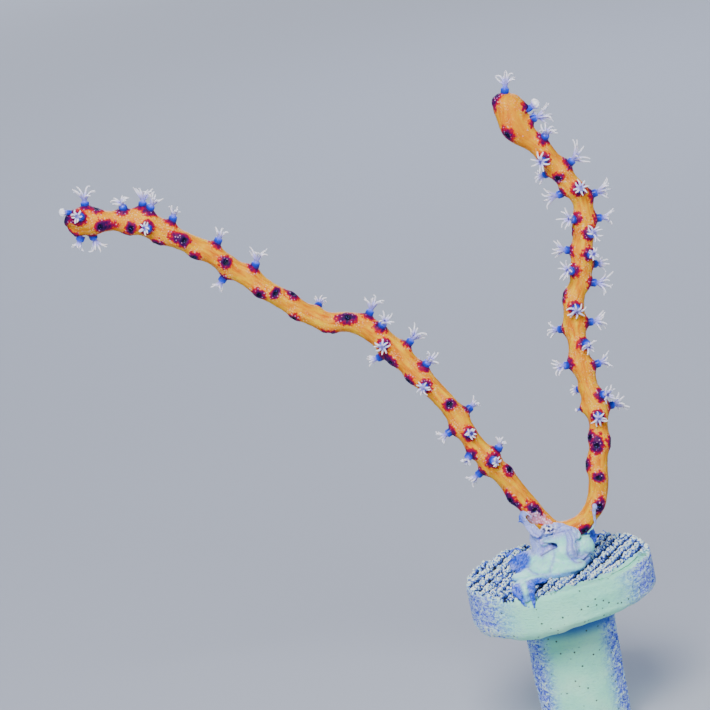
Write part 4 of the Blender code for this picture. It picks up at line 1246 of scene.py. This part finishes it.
# Beads of set glue in the hollow under the fork: right and up of the hollow's middle, radius
BEADS = (
    (-0.62, 0.12, 0.16), (-0.42, 0.36, 0.18), (-0.12, 0.46, 0.15), (0.2, 0.4, 0.19),
    (0.5, 0.2, 0.16), (0.62, -0.08, 0.15), (0.4, -0.3, 0.19), (0.08, -0.38, 0.17),
    (-0.28, -0.32, 0.2), (-0.56, -0.16, 0.17), (-0.12, 0.06, 0.2), (0.24, 0.04, 0.17),
)
BEADS_AT = (-0.3, -1.62, 4.2)
SHEETS = (
    # the flap that clings to the long arm
    ((-2.6, -0.2, 6.4), (-2.3, -0.5, 6.39), (-2.01, -0.8, 6.28), (-1.7, -1.1, 5.99),
     (-1.59, -1.2, 5.58), (-1.75, -1.2, 5.55), (-1.9, -1.0, 5.93), (-2.08, -0.8, 5.93),
     (-2.21, -0.7, 5.83), (-2.2, -0.8, 5.58), (-2.01, -0.9, 5.29), (-1.82, -1.0, 5.0),
     (-1.51, -1.1, 4.96), (-1.26, -1.3, 4.6), (-1.08, -1.6, 4.31), (-1.01, -1.9, 3.8),
     (-1.51, -1.8, 3.6), (-2.07, -1.2, 3.82), (-2.18, -0.9, 4.16), (-2.38, -0.7, 4.35),
     (-2.52, -0.4, 4.83), (-2.84, -0.1, 5.14), (-3.04, 0.1, 5.0), (-3.2, 0.2, 5.12),
     (-2.97, 0.0, 5.25), (-2.93, 0.0, 5.78), (-2.74, -0.1, 6.02)),
    # the apron to the right of it
    ((0.36, -1.3, 4.72), (0.75, -1.3, 4.66), (1.25, -1.3, 4.52), (1.65, -1.35, 4.2),
     (2.13, -1.35, 3.94), (2.55, -1.35, 3.73), (2.78, -1.35, 3.4), (2.9, -1.45, 3.02),
     (2.69, -1.6, 2.57), (1.52, -2.2, 2.36), (0.33, -2.2, 3.04), (0.06, -2.0, 3.59),
     (0.3, -1.7, 3.97), (0.29, -1.4, 4.43)),
    # the skirt that runs back to the left
    ((-2.03, -0.3, 2.55), (-2.29, 0.3, 1.93), (-2.69, 0.8, 1.72), (-3.13, 1.2, 1.63),
     (-3.7, 1.6, 1.28), (-4.34, 2.0, 0.91), (-4.79, 2.2, 0.56), (-4.83, 0.8, 0.32),
     (-4.68, -0.2, 0.18), (-3.89, -0.8, 0.41), (-3.21, -1.2, 0.67), (-2.76, -1.4, 1.05),
     (-2.32, -1.4, 1.58), (-1.91, -1.3, 1.94)),
    # the film behind the upright arm
    ((3.1, 0.6, 2.52), (3.56, 0.8, 2.75), (3.95, 1.0, 2.95), (4.21, 1.0, 2.5),
     (4.35, 1.0, 1.84), (4.28, 0.9, 1.19), (4.1, 0.7, 0.73), (3.8, 0.3, 0.44),
     (3.39, -0.2, 1.32), (2.99, 0.0, 1.9)),
)
STRINGS = (
    # radius in mm at the start and the end, then the points
    (0.13, 0.11, (-4.9, 2.5, 0.8), (-4.51, 2.5, 1.17), (-4.19, 2.5, 1.45), (-3.75, 2.5, 1.63),
     (-3.42, 2.3, 1.52), (-3.34, 2.1, 1.18), (-3.5, 2.0, 0.9), (-3.84, 2.0, 0.69)),
    (0.12, 0.08, (3.9, 0.8, 1.5), (4.33, 1.2, 1.64), (4.62, 1.5, 1.59), (5.03, 1.7, 1.54),
     (5.33, 1.7, 1.37), (5.56, 1.7, 1.49), (5.48, 1.7, 1.79), (5.23, 1.7, 1.88)),
    (0.12, 0.12, (2.7, -0.7, 2.2), (3.19, -0.6, 2.3), (3.47, -0.5, 2.33), (3.9, -0.2, 2.25)),
    (0.22, 0.1, (4.82, -1.35, 5.48), (4.69, -1.35, 5.13), (4.6, -1.3, 4.76), (4.59, -1.2, 4.35),
     (4.59, -1.1, 3.9), (4.48, -1.0, 3.48), (4.21, -0.9, 3.16), (3.94, -0.7, 2.91),
     (3.6, -0.5, 2.6)),
    (0.15, 0.1, (2.9, 0.4, 2.4), (3.5, 0.7, 2.95), (4.0, 0.9, 3.1), (4.3, 0.9, 2.6),
     (4.45, 0.9, 1.8), (4.35, 0.8, 1.0)),
    (0.26, 0.14, (-4.7, -4.6, 0.2), (-5.0, -6.4, 0.15), (-4.9, -7.6, 0.05), (-4.6, -8.4, -0.15),
     (-4.4, -8.5, -0.6), (-4.1, -8.55, -1.0), (-3.8, -8.7, -1.1)),
    (0.3, 0.2, (-3.1, -4.6, 0.2), (-3.2, -6.6, 0.15), (-3.35, -8.2, 0.0), (-3.4, -8.85, -0.3),
     (-3.4, -8.95, -0.8), (-3.5, -8.95, -1.25)),
    (0.3, 0.24, (-3.9, -6.6, 0.15), (-4.0, -7.8, 0.1), (-4.0, -8.5, -0.1), (-3.95, -8.75, -0.5)),
)
STRING_SIDES = 10
STRING_STEPS = 5
# The folds as the camera sees them: how deep they are and how wide, how lavender they are and how much
# painted shade darkens them, then their points, right and up in mm from the middle of the head's top.
FOLDS = (
    (0.45, 0.14, 0.6, 1.0, (-0.75, 1.85), (-0.17, 1.76)),
    (0.3, 0.12, 0.8, 0.55, (-1.47, 2.04), (-0.69, 1.85), (-0.17, 1.76)),
    (0.14, 0.1, 0.8, 0.6, (-0.17, 1.74), (-0.75, 1.32), (-1.21, 1.03), (-1.68, 0.75)),
    (0.2, 0.34, 1.0, 0.0, (-1.5, 1.25), (-1.0, 1.5), (-0.55, 1.66)),
    (0.0, 0.3, 1.0, 0.0, (-1.62, 0.95), (-1.5, 1.7), (-1.7, 2.3), (-2.2, 3.0)),
    (0.0, 0.4, 0.9, 0.0, (1.3, 3.2), (1.5, 2.2), (1.45, 1.4), (1.75, 0.7), (2.4, 0.42), (3.0, 0.7)),
    (0.14, 0.1, 0.7, 0.15, (-1.53, 2.26), (-1.34, 2.59), (-0.88, 2.85), (-0.43, 2.95),
     (-0.04, 3.04), (0.42, 3.17), (0.81, 3.24)),
    (0.16, 0.11, 0.9, 0.1, (0.81, 3.24), (1.07, 2.78), (1.17, 2.13), (1.08, 1.42), (1.17, 0.83),
     (1.46, 0.44), (2.11, 0.13), (2.7, 0.25), (3.09, 0.57), (3.41, 0.99)),
    (-0.12, 0.1, 0.9, 0.0, (0.94, 3.3), (1.27, 2.85), (1.42, 2.26), (1.38, 1.6), (1.5, 1.02),
     (1.76, 0.67), (2.2, 0.42), (2.65, 0.45), (3.0, 0.75)),
    (0.16, 0.1, 0.9, 0.12, (1.07, 3.3), (1.46, 2.91), (1.64, 2.39), (1.67, 1.81), (1.82, 1.22),
     (2.05, 0.9), (2.31, 0.7), (2.6, 0.65)),
    (0.12, 0.09, 0.9, 0.1, (1.46, 3.37), (1.82, 2.91), (1.93, 2.39), (1.95, 1.81), (2.08, 1.29),
     (2.31, 0.9)),
    (0.12, 0.09, 0.8, 0.1, (1.92, 3.57), (2.16, 3.17), (2.11, 2.65), (2.08, 2.2), (2.21, 1.61)),
    (0.1, 0.09, 0.8, 0.2, (-0.1, 3.17), (0.09, 3.5), (0.42, 3.76), (0.94, 3.89), (1.27, 3.83)),
    (0.1, 0.08, 0.7, 0.15, (-2.64, 2.78), (-2.44, 2.39), (-2.12, 2.13), (-1.79, 2.0)),
    (0.1, 0.08, 0.7, 0.15, (-2.64, 3.37), (-2.44, 2.98), (-1.99, 2.78), (-1.66, 2.52)),
    (0.07, 0.08, 0.5, 0.1, (-0.43, 1.35), (-0.3, 0.7), (-0.39, 0.18), (-0.62, -0.47),
     (-0.69, -1.06)),
    (0.08, 0.09, 0.6, 0.1, (-4.59, -0.86), (-3.94, -0.7), (-3.29, -0.47), (-2.9, -0.34)),
    (0.08, 0.09, 0.6, 0.1, (-2.96, -0.6), (-2.44, -1.06), (-1.79, -1.22), (-0.95, -1.32)),
    (0.12, 0.1, 0.5, 0.7, (2.3, 0.15), (2.75, 0.3), (3.1, 0.7)),
)
HOLLOW_AT = (-0.88, 3.42)
HOLLOW_HALF = (0.72, 0.5)


def on_head(point):
    return np.array((0, 0, HEAD_TOP)) + np.array(point, float) * MM


def mound_shell():
    turns = np.arange(GLUE_SIDES) * math.tau / GLUE_SIDES
    rows = np.array(MOUND)
    rings = []
    for t in np.linspace(0, len(rows) - 1, 4 * len(rows)):
        z, x, y, wide, deep = (np.interp(t, range(len(rows)), rows[:, k]) for k in range(5))
        fold = 1 + 0.04 * np.sin(5 * turns + t)
        rings.append(on_head(np.column_stack([
            x + wide * fold * np.cos(turns), y + deep * fold * np.sin(turns),
            np.full(GLUE_SIDES, z)])))
    return ring_skin(rings)


def lump_shell(middle, half):
    turns = np.arange(24) * math.tau / 24
    rings = []
    for t in np.linspace(-0.98, 0.98, 17):
        share = math.cos(math.asin(t))
        rings.append(on_head(np.column_stack([
            middle[0] + half[0] * share * np.cos(turns),
            middle[1] + half[1] * share * np.sin(turns), np.full(24, middle[2] + half[2] * t)])))
    return ring_skin(rings)


def sheet_shell(*corners):
    """A thin sheet with this outline, with its thickness along the view."""
    outline, count = np.array(corners), len(corners)
    half = np.array(view_back) * SHEET_THICKNESS / 2
    flat = [Vector((x, z, 0)) for x, _, z in corners]
    front = [list(face) for face in geometry.tessellate_polygon([flat])]
    faces = front + [[count + i for i in face[::-1]] for face in front]
    faces += [[i, count + i, count + (i + 1) % count, (i + 1) % count] for i in range(count)]
    return np.vstack([on_head(outline + half), on_head(outline - half)]), faces


def string_shell(start, end, *points):
    route = np.array(points, float)
    knots = np.vstack([2 * route[0] - route[1], route, 2 * route[-1] - route[-2]])
    a, b, c, d = knots[:-3], knots[1:-2], knots[2:-1], knots[3:]
    t = (np.arange(STRING_STEPS) / STRING_STEPS)[:, None, None]
    line = 0.5 * (2 * b + (c - a) * t + (2 * a - 5 * b + 4 * c - d) * t**2
                  + (3 * b - a - 3 * c + d) * t**3)
    line = np.vstack([line.transpose(1, 0, 2).reshape(-1, 3), route[-1]])
    tangent = np.gradient(line, axis=0)
    tangent /= np.linalg.norm(tangent, axis=1)[:, None]
    side = np.cross(tangent, (0.3, 0.2, 1.0))
    side /= np.linalg.norm(side, axis=1)[:, None]
    over = np.cross(tangent, side)
    turns = np.arange(STRING_SIDES) * math.tau / STRING_SIDES
    radius = np.linspace(start, end, len(line))
    radius[[0, -1]] *= 0.5
    rings = [p + r * (np.cos(turns)[:, None] * u + np.sin(turns)[:, None] * v)
             for p, r, u, v in zip(line, radius, side, over)]
    return ring_skin([on_head(ring) for ring in rings])


def make_glue():
    shells = [mound_shell()] + [lump_shell(*lump) for lump in LUMPS]
    x, y, z = BEADS_AT
    shells += [lump_shell((x + across, y, z + above), (r, r, r)) for across, above, r in BEADS]
    shells += [sheet_shell(*sheet) for sheet in SHEETS] + [string_shell(*row) for row in STRINGS]
    obj = fused("glue_mound", shells, GLUE_VOXEL)
    mesh = obj.data
    relax(mesh, 3, 0.5)
    points, normals = points_of(mesh), normals_of(mesh)
    right, depth, up = ((points - on_head((0, 0, 0))) / MM).T
    picture = seen(points)
    front = eased(normals @ np.array(view_back), 0.05, 0.45) * eased(-depth, -0.6, 0.3)
    hollow = np.hypot((picture[:, 0] - HOLLOW_AT[0]) / HOLLOW_HALF[0],
                      (picture[:, 1] - HOLLOW_AT[1]) / HOLLOW_HALF[1])
    hollow = np.exp(-hollow**4) * front
    move = noise_at(points, 1.3, 3, 4) * 0.06 - 0.1 * hollow
    move += noise_at(points, 0.5, 3, 5) * 0.05 * (1 + 2 * eased(-depth, 4.0, 4.8))
    lavender = np.zeros(len(points))
    painted_fold_shade = np.zeros(len(points))
    # Each fold sinks the skin, tints it lavender and lays painted shade along it.
    for deep, wide, tint, shade, *row in FOLDS:
        fold = distance_to(picture, row)
        move -= deep * np.exp(-(fold / wide) ** 2) * front
        lavender = np.maximum(lavender, tint * np.exp(-(fold / (wide + 0.12)) ** 2) * front)
        painted_fold_shade = np.maximum(painted_fold_shade, shade * np.exp(-(fold / wide) ** 4) * front)
    set_points(mesh, points + normals * (move * MM)[:, None])
    lavender = np.maximum(lavender, 0.9 * eased(up, 2.9, 3.7))
    lavender = np.maximum(lavender, 0.85 * eased(-picture[:, 0], 1.2, 1.7)
                          * eased(picture[:, 1], 0.4, 1.1))
    film = np.maximum(eased(-right, 2.3, 2.9) * eased(depth, -1.9, -1.0),
                      eased(right, 3.0, 3.6) * eased(depth, -0.3, 0.3) * eased(-up, -4.0, -3.4))
    fringe = 0.65 * eased(-up, -0.35, -0.1) * eased(-depth, -2, 0)
    drip = eased(-depth, 4.0, 4.8) * (1 - 0.9 * np.exp(-((right + 3.95) / 0.3) ** 4))
    film = np.maximum(film, drip)
    set_attribute(mesh, "relief", relief_of(mesh, 6))
    set_attribute(mesh, "lavender", lavender)
    set_attribute(mesh, "film", np.maximum(film, fringe))
    set_attribute(mesh, "hollow", hollow)
    set_attribute(mesh, "crease", painted_fold_shade)
    mesh.shade_smooth()
    return obj


# %% Set gel glue
def glue_material():
    """Set cyanoacrylate gel: milky mint where it is thick, lavender in folds, blue as film, with
    painted shade in its creases, sunken places and bead hollow, and painted highlights on the beads.
    """
    made, tree, shader = new_material("set_gel_glue")
    here = add(tree, "ShaderNodeTexCoord").outputs["Object"]
    fac = {name: add(tree, "ShaderNodeAttribute", attribute_name=name).outputs["Fac"]
           for name in ("relief", "lavender", "film", "hollow", "crease")}
    cloud = add(tree, "ShaderNodeTexNoise", {"Vector": here, "Scale": per_mm(2.2),
                                             "Detail": 3.0}).outputs["Fac"]
    base = add(tree, "ShaderNodeValToRGB", {"Fac": cloud}, stops=(
        (0.3, "#92F2E2"), (0.6, "#A4FAE4"), (0.8, "#B8F6EC"))).outputs["Color"]
    # Wrinkles of the set skin, a third of a millimetre apart.
    wrinkle = add(tree, "ShaderNodeTexNoise", {"Vector": here, "Scale": per_mm(0.7),
                                               "Detail": 4.0, "Distortion": 2.5}).outputs["Fac"]
    line = add(tree, "ShaderNodeValToRGB", {"Fac": wrinkle}, stops=(
        (0.38, "#6C70E4"), (0.48, "#BCB6FA"), (0.56, "#9296F2"), (0.68, "#E4DCFF"))).outputs["Color"]
    base = add(tree, "ShaderNodeMixRGB", {"Fac": fac["lavender"], "Color1": base,
                                          "Color2": line}).outputs["Color"]
    vein = add(tree, "ShaderNodeMapRange", {"Value": wrinkle, "From Min": 0.44,
                                            "From Max": 0.4}).outputs[0]
    vein = add(tree, "ShaderNodeMath", {0: vein, 1: 0.35}, operation="MULTIPLY").outputs[0]
    base = add(tree, "ShaderNodeMixRGB", {"Fac": vein, "Color1": base,
                                          "Color2": linear("#AEB2F2")}).outputs["Color"]
    blue = add(tree, "ShaderNodeValToRGB", {"Fac": wrinkle}, stops=(
        (0.3, "#0A2A98"), (0.48, "#1E52DC"), (0.65, "#6C86F4"))).outputs["Color"]
    base = add(tree, "ShaderNodeMixRGB", {"Fac": fac["film"], "Color1": base,
                                          "Color2": blue}).outputs["Color"]
    # Painted shade in the hollow under the fork, near black between the beads, and painted highlights
    # on the beads' tops.
    shaded_grains = add(tree, "ShaderNodeTexVoronoi", {"Vector": here, "Scale": per_mm(0.3)})
    lit = add(tree, "ShaderNodeMath", {0: fac["relief"], 1: 4.0, 2: shaded_grains.outputs["Distance"]},
              operation="MULTIPLY_ADD").outputs[0]
    lit_and_shaded_beads = add(tree, "ShaderNodeValToRGB", {"Fac": lit}, stops=(
        (0.3, "#060A30"), (0.42, "#3438B0"), (0.52, "#C8C0F0"), (0.64, "#FFFCF4"))).outputs["Color"]
    base = add(tree, "ShaderNodeMixRGB", {"Fac": fac["hollow"], "Color1": base,
                                          "Color2": lit_and_shaded_beads}).outputs["Color"]
    # Painted shade darkens the folds' creases.
    base = add(tree, "ShaderNodeMixRGB", {"Fac": fac["crease"], "Color1": base,
                                          "Color2": linear("#2A1A5A")}).outputs["Color"]
    # Blue painted shade where the skin sinks below its surroundings.
    sunk_painted_shade = add(tree, "ShaderNodeMapRange", {"Value": fac["relief"], "From Min": -0.05,
                                            "From Max": -0.2}).outputs[0]
    base = add(tree, "ShaderNodeMixRGB", {"Fac": sunk_painted_shade, "Color1": base,
                                          "Color2": linear("#6F7FE0")}).outputs["Color"]
    tree.links.new(base, shader.inputs["Base Color"])
    bump = add(tree, "ShaderNodeBump", {"Height": wrinkle, "Strength": 0.35,
                                        "Distance": 0.12 * MM}).outputs["Normal"]
    tree.links.new(bump, shader.inputs["Normal"])
    shader.inputs["Roughness"].default_value = 0.38
    shader.inputs["IOR"].default_value = 1.45
    shader.inputs["Subsurface Weight"].default_value = 0.25
    shader.inputs["Subsurface Radius"].default_value = (0.7, 0.9, 1.0)
    shader.inputs["Subsurface Scale"].default_value = 0.5 * MM
    return made


glue = make_glue()
glue.data.materials.append(glue_material())
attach(glue, "root")
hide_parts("glue")
print("glue has", len(glue.data.polygons), "faces")
